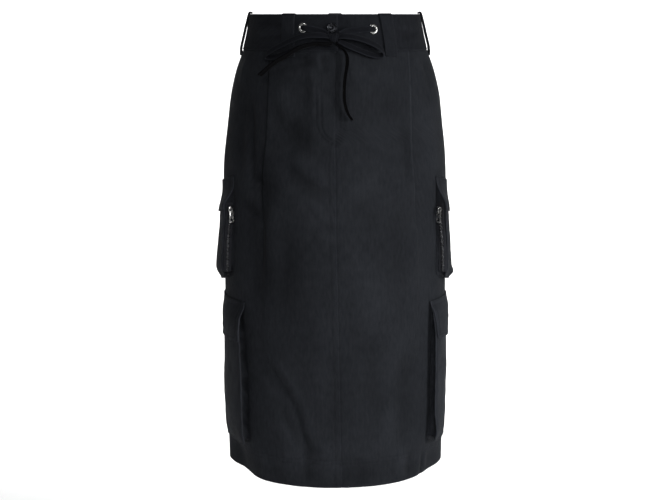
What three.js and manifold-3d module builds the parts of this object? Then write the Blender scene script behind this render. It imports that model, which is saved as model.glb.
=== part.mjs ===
// A cargo utility skirt in cotton twill, filled out as it is when worn.
// Millimetres, +Z up. The front faces -Y and +X is the wearer's left.
// The origin is at the middle of the waist, halfway up the waistband.

import * as THREE from 'three';
import Module from 'manifold-3d';
import { mergeVertices } from 'three/addons/utils/BufferGeometryUtils.js';

const wasm = await Module();
wasm.setup();

// Driving sizes. A depth is measured down from the top of the waistband, an "along" round the body
// from the centre front towards the wearer's left, and a lift outwards from the middle of the cloth.
const seamGap = 0.3;
const bandSeamGap = 0.8;
const pocketFoot = 1.2;
const twill = 1.0;
const bandHeight = 50;
const bandThickness = 2.4;
const bandTop = bandHeight / 2;
const hemDepth = 690;
const clothFace = twill / 2;
const bandFace = bandThickness / 2;

// The body of the skirt: half of its width, and its front to back size as a share of its width
const bodyForm = [
  { depth: 0, halfWidth: 124.6, flatness: 0.760 },
  { depth: 50, halfWidth: 136.0, flatness: 0.762 },
  { depth: 84, halfWidth: 147.8, flatness: 0.765 },
  { depth: 120, halfWidth: 155.9, flatness: 0.768 },
  { depth: 156, halfWidth: 160.3, flatness: 0.770 },
  { depth: 210, halfWidth: 166.3, flatness: 0.774 },
  { depth: 250, halfWidth: 168.0, flatness: 0.776 },
  { depth: 410, halfWidth: 169.4, flatness: 0.785 },
  { depth: 560, halfWidth: 170.2, flatness: 0.787 },
  { depth: 690, halfWidth: 168.6, flatness: 0.792 },
];

// The lapped edge of the fly and the seam below it
const frontSeam = [
  { depth: 0, along: 3 },
  { depth: 50, along: 0.5 },
  { depth: 180, along: 0 },
  { depth: 420, along: 4.5 },
  { depth: 690, along: 10 },
];
const fly = {
  underlap: 26, lift: 1.35, lapWidth: 30, fade: 14, bottom: 155, closed: 180, lapEnd: 200, settled: 240,
};

// How deep the cloth tucks under each knife pleat, and how far the fold turns back, in degrees
const pleatRadius = 0.7;
const pleatForm = [
  { depth: 50, tuck: 20, turn: 180 },
  { depth: 150, tuck: 17, turn: 180 },
  { depth: 215, tuck: 10, turn: 160 },
  { depth: 260, tuck: 6, turn: 105 },
  { depth: 320, tuck: 4, turn: 50 },
  { depth: 450, tuck: 3, turn: 26 },
  { depth: 600, tuck: 1, turn: 0 },
];
const pleatEase = 46;
const pleatSpread = 1.8;

// Broad soft folds, from one point to another: a negative lift is a trough
const frontFolds = [
  { fromAlong: -66, fromDepth: 214, toAlong: -4, toDepth: 256, width: 13, lift: -2.6 },
  { fromAlong: 64, fromDepth: 228, toAlong: 6, toDepth: 258, width: 13, lift: -2.4 },
  { fromAlong: -112, fromDepth: 505, toAlong: -60, toDepth: 566, width: 12, lift: -3.0 },
  { fromAlong: -58, fromDepth: 570, toAlong: -36, toDepth: 650, width: 12, lift: -2.6 },
  { fromAlong: 134, fromDepth: 300, toAlong: 104, toDepth: 470, width: 12, lift: 2.2 },
  { fromAlong: -184, fromDepth: 668, toAlong: -170, toDepth: 700, width: 26, lift: -15 },
  { fromAlong: 180, fromDepth: 670, toAlong: 170, toDepth: 700, width: 24, lift: -8 },
];
const backFolds = [
  { fromAlong: -88, fromDepth: 150, toAlong: -30, toDepth: 215, width: 15, lift: -2.4 },
  { fromAlong: 80, fromDepth: 165, toAlong: 24, toDepth: 222, width: 15, lift: -2.4 },
  { fromAlong: 96, fromDepth: 470, toAlong: 40, toDepth: 590, width: 14, lift: -2.8 },
  { fromAlong: -52, fromDepth: 330, toAlong: -60, toDepth: 520, width: 16, lift: 2.2 },
  { fromAlong: -130, fromDepth: 640, toAlong: -126, toDepth: 700, width: 22, lift: -5 },
  { fromAlong: 60, fromDepth: 620, toAlong: 64, toDepth: 700, width: 20, lift: -4 },
];

// The two sides of the skirt, with what differs between them
const sides = [
  {
    name: 'right',
    sign: -1,
    puff: { upper: 1.3, lower: 0.85 },
    pleatLine: [
      { depth: 50, along: 98 },
      { depth: 168, along: 102 },
      { depth: 243, along: 112 },
      { depth: 320, along: 109 },
      { depth: 600, along: 110 },
    ],
    lowerFront: [{ depth: 420, reach: 90 }, { depth: 540, reach: 102 }, { depth: 648, reach: 104 }],
  },
  {
    name: 'left',
    sign: 1,
    puff: { upper: 0.75, lower: 1.25 },
    pleatLine: [
      { depth: 50, along: 113 },
      { depth: 168, along: 115 },
      { depth: 264, along: 122 },
      { depth: 400, along: 130 },
      { depth: 600, along: 130 },
    ],
    lowerFront: [{ depth: 420, reach: 82 }, { depth: 648, reach: 84 }],
  },
];

// Bellows pockets: how far each face stands off the body at its front and back edges and at its middle.
// A side's puff scales the middle.
const upperPocket = {
  name: 'upper',
  flapTop: 250,
  flapBottom: 293,
  top: 266,
  bottom: 397,
  front: () => [{ depth: 0, reach: 64 }],
  back: 64,
  face: [
    { depth: 250, edge: 13, middle: 1.6 },
    { depth: 270, edge: 15, middle: 2.8 },
    { depth: 293, edge: 17, middle: 4.4 },
    { depth: 350, edge: 17.5, middle: 8.2 },
    { depth: 380, edge: 17.5, middle: 9.2 },
    { depth: 397, edge: 11, middle: 4.2 },
  ],
};
const lowerPocket = {
  name: 'lower',
  flapTop: 422.5,
  flapBottom: 482,
  top: 440,
  bottom: 648,
  front: (side) => side.lowerFront,
  back: 90,
  face: [
    { depth: 422.5, edge: 7, middle: 2.4 },
    { depth: 482, edge: 18, middle: 2.6 },
    { depth: 560, edge: 20, middle: 3.6 },
    { depth: 630, edge: 20, middle: 3.4 },
    { depth: 648, edge: 16, middle: 2.6 },
  ],
};

// How a pocket's edges round off, and how far its inside is cut above its mouth
const pocketRound = 3;
const pocketRim = [0.93, 0.975, 1];
const roundFrom = 0.9;
const roundDrop = 5;
const mouthCut = 6;

const flapThickness = 1.8;
const flapOverhang = 1.5;
const flapClearance = 0.7;

// The zip down the front gusset of each upper pocket, and its slider and pull tab
const zip = {
  top: 272, bottom: 388, lift: 8, tapeHalf: 5, teethHalf: 1.5, tapeThickness: 0.8, teethHeight: 1.5,
};
const slider = {
  depth: 284, halfWidth: 4, halfFoot: 3.1, thickness: 2.5,
  bottom: -4, waist: -1, shoulder: 2, top: 7, corner: 1.5,
};
const bail = {
  halfWidth: 1.2, out: 2.35, inner: 1.15, foot: -2.4, rest: -1.2, chamfer: 0.8,
  outSpring: 3.6, inSpring: 3.2, crown: 6.2, innerCrown: 4.8, sunk: 0.2,
};
const pull = {
  halfWidth: 4, top: 0.7, length: 18, thickness: 1.2, chamfer: 1.2, corner: 2.6,
  slotHalf: 1.6, slotBottom: -4.6, holeRadius: 2.2, holeRise: 4.4,
};

// Belt loops, with the line that each follows over the band from its top edge to below the seam
const loopWidth = 19;
const loopThickness = 1.6;
const flatLoop = [
  { lift: -1.0, depth: -1.1 },
  { lift: 1.8, depth: -1.1 },
  { lift: 3.3, depth: 1.6 },
  { lift: 3.9, depth: 10 },
  { lift: 4.0, depth: 25 },
  { lift: 3.8, depth: 40 },
  { lift: 3.0, depth: 49 },
  { lift: 1.8, depth: 54 },
  { lift: 1.65, depth: 58 },
];
const proudLoop = [
  { lift: -1.0, depth: -1.1 },
  { lift: 1.8, depth: -1.1 },
  { lift: 3.2, depth: 2.4 },
  { lift: 3.9, depth: 9 },
  { lift: 4.3, depth: 18 },
  { lift: 4.6, depth: 30 },
  { lift: 4.8, depth: 42 },
  { lift: 4.3, depth: 49.5 },
  { lift: 3.0, depth: 54.5 },
  { lift: 1.75, depth: 58.5 },
];
const beltLoops = [
  { name: 'front_right', along: -67, slant: 0, path: flatLoop },
  { name: 'front_left', along: 77.5, slant: 0.18, path: flatLoop },
  { name: 'side_right', quarters: -1, path: proudLoop },
  { name: 'side_left', quarters: 1, path: proudLoop },
  { name: 'back', quarters: 2, path: flatLoop },
];

// What is set into the waistband
const bandUnderlap = { start: -34, end: 3, lift: -2.8, rise: 20 };
const eyelets = [{ name: 'right', along: -45.5, depth: 18 }, { name: 'left', along: 54.5, depth: 20 }];
const eyeletSize = {
  hole: 3.2, barrel: 3.6, barrelDrop: 1.1, mouth: 0.6, flange: 7.2, edge: 0.5,
  crown: 1.4, crownOut: 5.8, crownIn: 4.4, seat: 4, sunk: 1.8,
};
const button = { along: -4.8, depth: 18.5, radius: 7, edge: 1.4, height: 2.6, bevel: 0.8, rim: 2 };

// The drawcord: flat tape, one width direction for each stretch, and the points that it follows
const tape = { width: 9.5, thickness: 1.6 };
const knot = { x: -2, y: -107.4, z: -7, halfX: 7, halfY: 5.7, halfZ: 6.5 };
const drawcord = [
  {
    name: 'lead_right', across: [0, 0, 1], startWidth: 5,
    route: [
      [-45.7, -94.2, 6.9], [-45.4, -96.7, 6.8], [-43.2, -98.6, 6.6], [-37, -99.7, 5.6],
      [-28, -100.6, 4], [-19, -102, 1.4], [-9.3, -105.4, -1.8],
    ],
  },
  {
    name: 'lead_left', across: [0, 0, 1], startWidth: 5,
    route: [
      [54.6, -90.6, 5.1], [54.9, -93.2, 5.1], [52.8, -95.4, 5.1], [45, -97.3, 5],
      [34, -99.5, 4.4], [17, -102, 2], [5.3, -105.4, -1.6],
    ],
  },
  {
    name: 'loop_right', across: [0, -0.64, -0.77],
    route: [
      [-8.5, -110.2, -5.4], [-18, -111, -3.4], [-30, -110.8, -3.2], [-44, -109.2, -4.4],
      [-58, -106.2, -8.8], [-72, -101.6, -15.4], [-86, -95.2, -22.6], [-94, -90.6, -27.4],
      [-97.4, -88, -30.6], [-96.6, -87.4, -33.6], [-92, -89.4, -34.6], [-80, -95.4, -32.2],
      [-65, -101, -26.4], [-51, -104.2, -20.6], [-37, -105.4, -16.4], [-23, -106.2, -13.4],
      [-8.7, -107.6, -11.2],
    ],
  },
  {
    name: 'loop_left', across: [0, -0.64, -0.77],
    route: [
      [4.5, -110.4, -5.8], [13, -112.2, -4.6], [24, -112.6, -5.6], [38, -111.6, -8.8],
      [51, -109.2, -13.8], [60, -106.6, -18.6], [65.6, -104, -23], [68, -101.8, -27.2],
      [66.4, -100.8, -30.6], [62, -101.4, -32], [52, -103.4, -30.6], [38, -105, -25.8],
      [24, -106.2, -20], [13, -106.9, -15], [4.6, -107.6, -11.4],
    ],
  },
  {
    name: 'tail_right', across: [-0.1, -0.99, 0.1],
    route: [
      [-3.6, -115.1, -14.1], [-14, -118.1, -15.2], [-26, -118.4, -14.8], [-38, -118, -16.6],
      [-49, -115.8, -20.4], [-60, -112, -26.2], [-70, -108, -32.6], [-80, -102.6, -38],
      [-91, -96.6, -45.6], [-99, -91.6, -52.6], [-107, -86.4, -59.6],
    ],
  },
  {
    name: 'tail_left', across: [0.25, -0.97, 0],
    route: [
      [1.2, -110, -14.8], [8.3, -112.4, -20], [13.6, -113, -25], [16.6, -113.4, -31],
      [17.4, -114.8, -38], [16.6, -117, -47], [14.8, -119.4, -57], [13.4, -122.2, -70],
      [13, -125.4, -86], [14.4, -127.2, -99], [18.4, -128, -111], [24.2, -128.4, -120],
    ],
  },
];

const materials = {
  twill: { color: 0x232427, roughness: 0.92, metalness: 0 },
  band: { color: 0x1c1d20, roughness: 0.92, metalness: 0 },
  cord: { color: 0x1b1c1f, roughness: 0.9, metalness: 0 },
  steel: { color: 0xc9cacb, roughness: 0.28, metalness: 1 },
  zipTape: { color: 0x2a2b2e, roughness: 0.85, metalness: 0 },
  button: { color: 0x2b2c2e, roughness: 0.4, metalness: 0.6 },
};

const skirt = new THREE.Group();

function addPiece(name, geometry, material, place) {
  const mesh = new THREE.Mesh(geometry, new THREE.MeshStandardMaterial(materials[material]));
  mesh.name = name;
  if (place) mesh.applyMatrix4(place);
  skirt.add(mesh);
}

// Tables and curves

// One column of a table at a depth: smooth through the rows, level past the ends
function read(table, column, depth) {
  const last = table.length - 1;
  if (depth <= table[0].depth) return table[0][column];
  if (depth >= table[last].depth) return table[last][column];
  const i = table.findIndex((row) => row.depth > depth) - 1;
  const rise = (k) => (table[k + 1][column] - table[k][column]) / (table[k + 1].depth - table[k].depth);
  const slope = (k) => {
    if (k === 0) return rise(0);
    if (k === last) return rise(last - 1);
    return rise(k - 1) * rise(k) <= 0 ? 0 : 2 / (1 / rise(k - 1) + 1 / rise(k));
  };
  const span = table[i + 1].depth - table[i].depth;
  const t = (depth - table[i].depth) / span;
  const start = table[i][column] * (1 + 2 * t) * (1 - t) ** 2 + slope(i) * span * t * (1 - t) ** 2;
  return start + table[i + 1][column] * (3 - 2 * t) * t ** 2 - slope(i + 1) * span * (1 - t) * t ** 2;
}

const mix = THREE.MathUtils.lerp;
const ease = THREE.MathUtils.smoothstep;

function steps(from, to, count) {
  return Array.from({ length: count + 1 }, (_, k) => mix(from, to, k / count));
}

// The ellipse at each depth, with the length along it at every degree from the centre front
const ringSteps = 360;
const ringAngle = (2 * Math.PI) / ringSteps;
const rings = new Map();

function ringAt(depth) {
  if (!rings.has(depth)) {
    const a = read(bodyForm, 'halfWidth', depth);
    const b = a * read(bodyForm, 'flatness', depth);
    const lengths = [0];
    for (let k = 0; k < ringSteps; k++) {
      const angle = (k + 0.5) * ringAngle;
      lengths.push(lengths[k] + Math.hypot(a * Math.cos(angle), b * Math.sin(angle)) * ringAngle);
    }
    rings.set(depth, { a, b, lengths });
  }
  return rings.get(depth);
}

const girth = (depth) => ringAt(depth).lengths[ringSteps];
const quarter = (depth) => girth(depth) / 4;

function foldLift(folds, along, depth) {
  let lift = 0;
  for (const fold of folds) {
    const run = [fold.toAlong - fold.fromAlong, fold.toDepth - fold.fromDepth];
    const length = Math.hypot(...run);
    const offset = [along - fold.fromAlong, depth - fold.fromDepth];
    const share = (offset[0] * run[0] + offset[1] * run[1]) / length ** 2;
    const aside = (offset[0] * run[1] - offset[1] * run[0]) / length;
    const past = Math.max(0, Math.abs(share - 0.5) - 0.4) * length;
    lift += fold.lift * Math.exp(-(aside ** 2 + past ** 2) / (2 * fold.width ** 2));
  }
  return lift;
}

// A point of the skirt, from its distance along the body, its depth and its lift
function bodyPoint(along, depth, lift) {
  const { a, b, lengths } = ringAt(depth);
  const round = lengths[ringSteps];
  const wrapped = ((along % round) + round) % round;
  let low = 0;
  let high = ringSteps;
  while (high - low > 1) {
    const middle = (low + high) >> 1;
    if (lengths[middle] <= wrapped) low = middle;
    else high = middle;
  }
  const angle = (low + (wrapped - lengths[low]) / (lengths[high] - lengths[low])) * ringAngle;
  const normal = new THREE.Vector2(Math.sin(angle) / a, -Math.cos(angle) / b).normalize();
  const fromFront = wrapped > round / 2 ? wrapped - round : wrapped;
  const fromBack = fromFront - Math.sign(fromFront || 1) * (round / 2);
  const out = lift + foldLift(frontFolds, fromFront, depth) + foldLift(backFolds, -fromBack, depth);
  return new THREE.Vector3(a * Math.sin(angle) + normal.x * out, -b * Math.cos(angle) + normal.y * out,
    bandTop - depth);
}

// Solids

// Turns every face outwards and makes the geometry
function closedSolid(points, faces) {
  let volume = 0;
  for (let k = 0; k < faces.length; k += 3) {
    const [p, q, r] = [points[faces[k]], points[faces[k + 1]], points[faces[k + 2]]];
    volume += p.dot(new THREE.Vector3().crossVectors(q, r));
  }
  if (volume < 0) {
    for (let k = 0; k < faces.length; k += 3) [faces[k + 1], faces[k + 2]] = [faces[k + 2], faces[k + 1]];
  }
  const geometry = new THREE.BufferGeometry();
  const places = points.flatMap((point) => point.toArray());
  geometry.setAttribute('position', new THREE.Float32BufferAttribute(places, 3));
  geometry.setIndex(faces);
  geometry.computeVertexNormals();
  return geometry;
}

// A closed shell between an outer and an inner grid of points
function shellBetween(outer, inner) {
  const across = outer.length;
  const down = outer[0].length;
  const points = [...outer.flat(), ...inner.flat()];
  const at = (layer, i, j) => (layer * across + i) * down + j;
  const faces = [];
  const quad = (a, b, c, d) => faces.push(a, b, c, a, c, d);
  for (let i = 0; i < across - 1; i++) {
    for (let j = 0; j < down - 1; j++) {
      quad(at(0, i, j), at(0, i, j + 1), at(0, i + 1, j + 1), at(0, i + 1, j));
      quad(at(1, i, j), at(1, i + 1, j), at(1, i + 1, j + 1), at(1, i, j + 1));
    }
    quad(at(0, i, 0), at(0, i + 1, 0), at(1, i + 1, 0), at(1, i, 0));
    quad(at(0, i, down - 1), at(1, i, down - 1), at(1, i + 1, down - 1), at(0, i + 1, down - 1));
  }
  for (let j = 0; j < down - 1; j++) {
    quad(at(0, 0, j), at(1, 0, j), at(1, 0, j + 1), at(0, 0, j + 1));
    quad(at(0, across - 1, j), at(0, across - 1, j + 1), at(1, across - 1, j + 1), at(1, across - 1, j));
  }
  return closedSolid(points, faces);
}

// A wall of even thickness about a grid of middle points
function clothWall(middle, thickness) {
  const across = middle.length;
  const down = middle[0].length;
  const along = (before, here, after) => {
    const direction = new THREE.Vector3();
    if (before) direction.add(here.clone().sub(before).normalize());
    if (after) direction.add(after.clone().sub(here).normalize());
    return direction;
  };
  const offset = (i, j) => {
    const right = along(middle[i - 1]?.[j], middle[i][j], middle[i + 1]?.[j]);
    const below = along(middle[i][j - 1], middle[i][j], middle[i][j + 1]);
    return right.cross(below).normalize().multiplyScalar(thickness / 2);
  };
  const layer = (sign) => middle.map((column, i) => (
    Array.from({ length: down }, (_, j) => column[j].clone().addScaledVector(offset(i, j), sign))
  ));
  return shellBetween(layer(1), layer(-1));
}

function toManifold(geometry) {
  const plain = geometry.clone();
  plain.deleteAttribute('normal');
  plain.deleteAttribute('uv');
  const merged = mergeVertices(plain);
  return new wasm.Manifold(new wasm.Mesh({
    numProp: 3,
    vertProperties: new Float32Array(merged.attributes.position.array),
    triVerts: new Uint32Array(merged.index.array),
  }));
}

function toGeometry(manifold) {
  const mesh = manifold.getMesh();
  const geometry = new THREE.BufferGeometry();
  geometry.setAttribute('position', new THREE.BufferAttribute(new Float32Array(mesh.vertProperties), 3));
  geometry.setIndex(Array.from(mesh.triVerts));
  geometry.computeVertexNormals();
  return geometry;
}

// A frame on the skirt's surface: X along the body, Y up it and Z outwards
function frameOn(along, depth, lift) {
  const acrossStep = bodyPoint(along + 1, depth, lift).sub(bodyPoint(along - 1, depth, lift)).normalize();
  const upStep = bodyPoint(along, depth - 1, lift).sub(bodyPoint(along, depth + 1, lift)).normalize();
  const outStep = new THREE.Vector3().crossVectors(acrossStep, upStep).normalize();
  const squareUp = new THREE.Vector3().crossVectors(outStep, acrossStep);
  const frame = new THREE.Matrix4().makeBasis(acrossStep, squareUp, outStep);
  return frame.setPosition(bodyPoint(along, depth, lift));
}

// A ring or disc with its axis along Z, from a profile of [radius, height] corners
function turned(profile, segments) {
  const geometry = new THREE.LatheGeometry(profile.map(([r, h]) => new THREE.Vector2(r, h)), segments);
  return geometry.rotateX(Math.PI / 2);
}

// Panels

const seamAlong = (depth) => read(frontSeam, 'along', depth);

// Where a front panel's centre edge lies, measured towards its own side
function centreEdge(side, depth) {
  if (side.sign < 0) return -seamAlong(depth);
  const under = 1 - ease(depth, fly.bottom, fly.closed);
  return seamAlong(depth) + seamGap - (fly.underlap + seamGap) * under;
}

function flyLift(side, along, depth) {
  if (side.sign > 0) return 0;
  const near = 1 - ease(along, fly.lapWidth, fly.lapWidth + fly.fade);
  return fly.lift * near * (1 - ease(depth, fly.lapEnd, fly.settled));
}

// The stations of a fold: over its crest, back under it and round again. As it opens they spread out.
function foldStations(side, depth) {
  const crest = read(side.pleatLine, 'along', depth);
  const tuck = read(pleatForm, 'tuck', depth);
  const turnDegrees = read(pleatForm, 'turn', depth);
  const turn = THREE.MathUtils.degToRad(turnDegrees);
  const r = pleatRadius;
  const over = steps(0, turn, 4).map((angle) => [crest + r * Math.sin(angle), -r * (1 - Math.cos(angle))]);
  const [foldAlong, foldDrop] = over.at(-1);
  const backAlong = foldAlong + tuck * Math.cos(turn);
  const backDrop = foldDrop - tuck * Math.sin(turn);
  const under = steps(turn, 0, 4).map((angle) => (
    [backAlong + r * (Math.sin(turn) - Math.sin(angle)), backDrop + r * (Math.cos(turn) - Math.cos(angle))]
  ));
  const stations = [...over, [mix(foldAlong, backAlong, 0.5), mix(foldDrop, backDrop, 0.5)], ...under];
  const open = 1 - ease(turnDegrees, 20, 90);
  const centre = (stations.length - 1) / 2;
  return stations.map(([along, drop], k) => [along + (k - centre) * pleatSpread * open, drop]);
}

// A front panel's middle line at one depth: to the pleat, through its fold, and on to the side seam
function frontSection(side, depth) {
  const fold = foldStations(side, depth);
  const flat = steps(centreEdge(side, depth), fold[0][0] - 3, 8).map((along) => (
    [along, flyLift(side, along, depth)]
  ));
  const [startAlong, startLift] = fold.at(-1);
  const rest = steps(startAlong, quarter(depth) - seamGap / 2, 8).slice(1).map((along) => (
    [along, startLift * (1 - ease(along, startAlong, startAlong + pleatEase))]
  ));
  return [...flat, ...fold, ...rest];
}

const panelTop = bandHeight + bandSeamGap;
const hemRows = 640;
const panelDepths = [...steps(panelTop, hemRows, 19), ...steps(hemRows, hemDepth, 3).slice(1)];

function frontPanel(side) {
  const rows = panelDepths.map((depth) => (
    frontSection(side, depth).map(([along, lift]) => bodyPoint(side.sign * along, depth, lift))
  ));
  return clothWall(rows[0].map((_, i) => rows.map((row) => row[i])), twill);
}

function backPanel() {
  const shares = steps(0, 1, 24);
  const depths = steps(panelTop, hemDepth, 14);
  return clothWall(shares.map((share) => depths.map((depth) => {
    const start = quarter(depth) + seamGap / 2;
    return bodyPoint(mix(start, girth(depth) - start, share), depth, 0);
  })), twill);
}

// Waistband, belt loops, eyelets and button

function waistband() {
  const shares = [...steps(0, 0.052, 4), ...steps(0.052, 1, 44).slice(1)];
  const strip = clothWall(shares.map((share) => steps(0, bandHeight, 3).map((depth) => {
    const along = mix(bandUnderlap.start, girth(depth) + bandUnderlap.end, share);
    const out = ease(along, bandUnderlap.end + 1, bandUnderlap.end + 1 + bandUnderlap.rise);
    return bodyPoint(along, depth, bandUnderlap.lift * (1 - out));
  })), bandThickness);
  const seats = eyelets.map(({ along, depth }) => {
    const seat = new THREE.CylinderGeometry(eyeletSize.seat, eyeletSize.seat, 10, 20).rotateX(Math.PI / 2);
    seat.translate(0, 0, 5 - eyeletSize.sunk);
    return toManifold(seat.applyMatrix4(frameOn(along, depth, bandFace + seamGap)));
  });
  return toGeometry(seats.reduce((band, seat) => band.subtract(seat), toManifold(strip)));
}

function beltLoop({ along = 0, slant = 0, quarters, path }) {
  const widths = [-loopWidth / 2, 0, loopWidth / 2];
  return clothWall(path.map(({ lift, depth }) => widths.map((aside) => {
    const centre = quarters ? quarters * quarter(depth) : along + slant * (depth - bandHeight / 2);
    return bodyPoint(centre + aside, depth, lift);
  })), loopThickness);
}

function eyelet() {
  const { hole, barrel, barrelDrop, mouth, flange, edge, crown, crownOut, crownIn } = eyeletSize;
  return turned([[hole, -barrelDrop], [barrel, -barrelDrop], [barrel, 0], [flange, 0], [flange, edge],
    [crownOut, crown], [crownIn, crown], [hole, mouth], [hole, -barrelDrop]], 24);
}

function buttonDisc() {
  const { radius, edge, height, bevel, rim } = button;
  return turned([[0, 0], [radius, 0], [radius, edge], [radius - bevel, height], [radius - rim, height],
    [radius - rim - bevel, height - bevel], [0, height - bevel]], 24);
}

// Bellows pockets with their flaps

const reachAt = (pocket, side, share, depth) => (
  share < 0 ? read(pocket.front(side), 'reach', depth) : pocket.back
);

function pocketFace(pocket, side, share, depth) {
  const edge = read(pocket.face, 'edge', depth);
  const middle = read(pocket.face, 'middle', depth) * side.puff[pocket.name];
  return middle + (edge - middle) * Math.min(1, Math.abs(share)) ** 2;
}

// A block on the body in the pocket's shape, inset all round, with rounded edges
function pocketBlock(pocket, side, inset) {
  const foot = inset ? -pocketRound : pocketFoot;
  const top = inset ? pocket.top - mouthCut : pocket.top;
  const bottom = pocket.bottom - inset;
  const shares = [...pocketRim.map((r) => -r).reverse(), ...steps(-0.82, 0.82, 9), ...pocketRim];
  const depths = [...steps(top, bottom - 10, 7), bottom - 4, bottom - 1.5, bottom];
  const place = (share, depth, lift) => {
    const reach = reachAt(pocket, side, share, depth) - inset;
    return bodyPoint(side.sign * (quarter(depth) + share * reach), depth, lift);
  };
  const faceLift = (share, depth) => {
    const flat = pocketFace(pocket, side, share, depth) - inset;
    const round = Math.min(pocketRound, 0.5 * (flat - clothFace));
    const aside = Math.max(0, (Math.abs(share) - roundFrom) / (1 - roundFrom));
    const low = Math.max(0, (depth - (bottom - roundDrop)) / roundDrop);
    const drop = 1 - Math.sqrt(Math.max(0, 1 - Math.min(1, aside ** 2 + low ** 2)));
    return flat - round * drop;
  };
  const outer = shares.map((share) => depths.map((depth) => place(share, depth, faceLift(share, depth))));
  const inner = shares.map((share) => depths.map((depth) => place(share, depth, foot)));
  return toManifold(shellBetween(outer, inner));
}

function pocketTray(pocket, side) {
  return toGeometry(pocketBlock(pocket, side, 0).subtract(pocketBlock(pocket, side, twill)));
}

// The flap leaves the body above the pocket, rises over its open top and hangs down its face
function pocketFlap(pocket, side) {
  const rise = pocket.top - 4;
  const seat = clothFace + seamGap + flapThickness / 2;
  const depths = [...steps(pocket.flapTop, rise, 4), ...steps(rise, pocket.flapBottom, 4).slice(1)];
  return clothWall(steps(-1, 1, 14).map((share) => depths.map((depth) => {
    const reach = reachAt(pocket, side, share, depth) + flapOverhang;
    const over = pocketFace(pocket, side, share, depth) + flapThickness / 2 + flapClearance;
    const lift = mix(seat, over, ease(depth, pocket.flapTop, rise));
    return bodyPoint(side.sign * (quarter(depth) + share * reach), depth, lift);
  })), flapThickness);
}

// The zip and its hardware

const gussetAlong = (depth) => quarter(depth) - read(upperPocket.front(), 'reach', depth);

// The tape and the row of teeth as one strip, proud of the gusset
function zipStrip(side) {
  const { lift, tapeHalf, teethHalf, tapeThickness, teethHeight } = zip;
  const tapeOut = seamGap + tapeThickness;
  const teethOut = tapeOut + teethHeight;
  const half = [[seamGap, tapeHalf], [tapeOut, tapeHalf], [tapeOut, teethHalf], [teethOut, teethHalf]];
  const section = [
    ...half.map(([out, high]) => [out, lift - high]),
    ...half.map(([out, high]) => [out, lift + high]).reverse(),
  ];
  const depths = steps(zip.top, zip.bottom, 6);
  const count = section.length;
  const points = depths.flatMap((depth) => (
    section.map(([out, high]) => bodyPoint(side.sign * (gussetAlong(depth) - out), depth, high))
  ));
  const faces = [];
  for (let j = 0; j < depths.length - 1; j++) {
    for (let k = 0; k < count; k++) {
      const next = (k + 1) % count;
      const [a, b, c, d] = [j * count + k, j * count + next, (j + 1) * count + next, (j + 1) * count + k];
      faces.push(a, b, c, a, c, d);
    }
  }
  const profile = section.map(([out, high]) => new THREE.Vector2(out, high));
  const cap = THREE.ShapeUtils.triangulateShape(profile, []);
  const end = (depths.length - 1) * count;
  const windsOn = THREE.ShapeUtils.area(profile) > 0;
  for (const [a, b, c] of cap) {
    faces.push(...(windsOn ? [a, c, b] : [a, b, c]));
    faces.push(...(windsOn ? [end + a, end + b, end + c] : [end + a, end + c, end + b]));
  }
  return closedSolid(points, faces);
}

// The hinge of a pull tab: X across the tab, Y up and Z away from the gusset
function hingeFrame(side) {
  const out = seamGap + zip.tapeThickness + zip.teethHeight + seamGap + slider.thickness + bail.inner;
  const place = bodyPoint(side.sign * (gussetAlong(slider.depth) - out), slider.depth, zip.lift);
  const onGusset = bodyPoint(side.sign * gussetAlong(slider.depth), slider.depth, zip.lift);
  const away = place.clone().sub(onGusset).setZ(0).normalize();
  const up = new THREE.Vector3(0, 0, 1);
  const acrossTab = new THREE.Vector3().crossVectors(up, away);
  return new THREE.Matrix4().makeBasis(acrossTab, up, away).setPosition(place);
}

const shapeFrom = (corners) => new THREE.Shape(corners.map(([x, y]) => new THREE.Vector2(x, y)));

function sliderSolid() {
  const { halfWidth, halfFoot, bottom, waist, shoulder, top, corner, thickness } = slider;
  const half = [
    [halfFoot, bottom], [halfFoot, waist], [halfWidth, shoulder],
    [halfWidth, top - corner], [halfWidth - corner, top],
  ];
  const plate = new THREE.ExtrudeGeometry(shapeFrom([
    ...half,
    ...half.map(([x, y]) => [-x, y]).reverse(),
  ]), { depth: thickness, bevelEnabled: false });
  plate.translate(0, 0, -bail.inner - thickness);
  const root = -bail.inner - bail.sunk;
  const arch = new THREE.ExtrudeGeometry(shapeFrom([
    [root, bail.foot], [bail.out - bail.chamfer, bail.foot], [bail.out, bail.foot + bail.chamfer],
    [bail.out, bail.outSpring], [bail.inner, mix(bail.outSpring, bail.crown, 0.8)], [root, bail.crown],
    [root, bail.innerCrown], [bail.inner / 2, mix(bail.inSpring, bail.innerCrown, 0.75)],
    [bail.inner, bail.inSpring], [bail.inner, bail.rest], [root, bail.rest],
  ]), { depth: 2 * bail.halfWidth, bevelEnabled: false });
  arch.translate(0, 0, -bail.halfWidth).rotateY(-Math.PI / 2);
  return toGeometry(toManifold(plate).add(toManifold(arch)));
}

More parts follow.
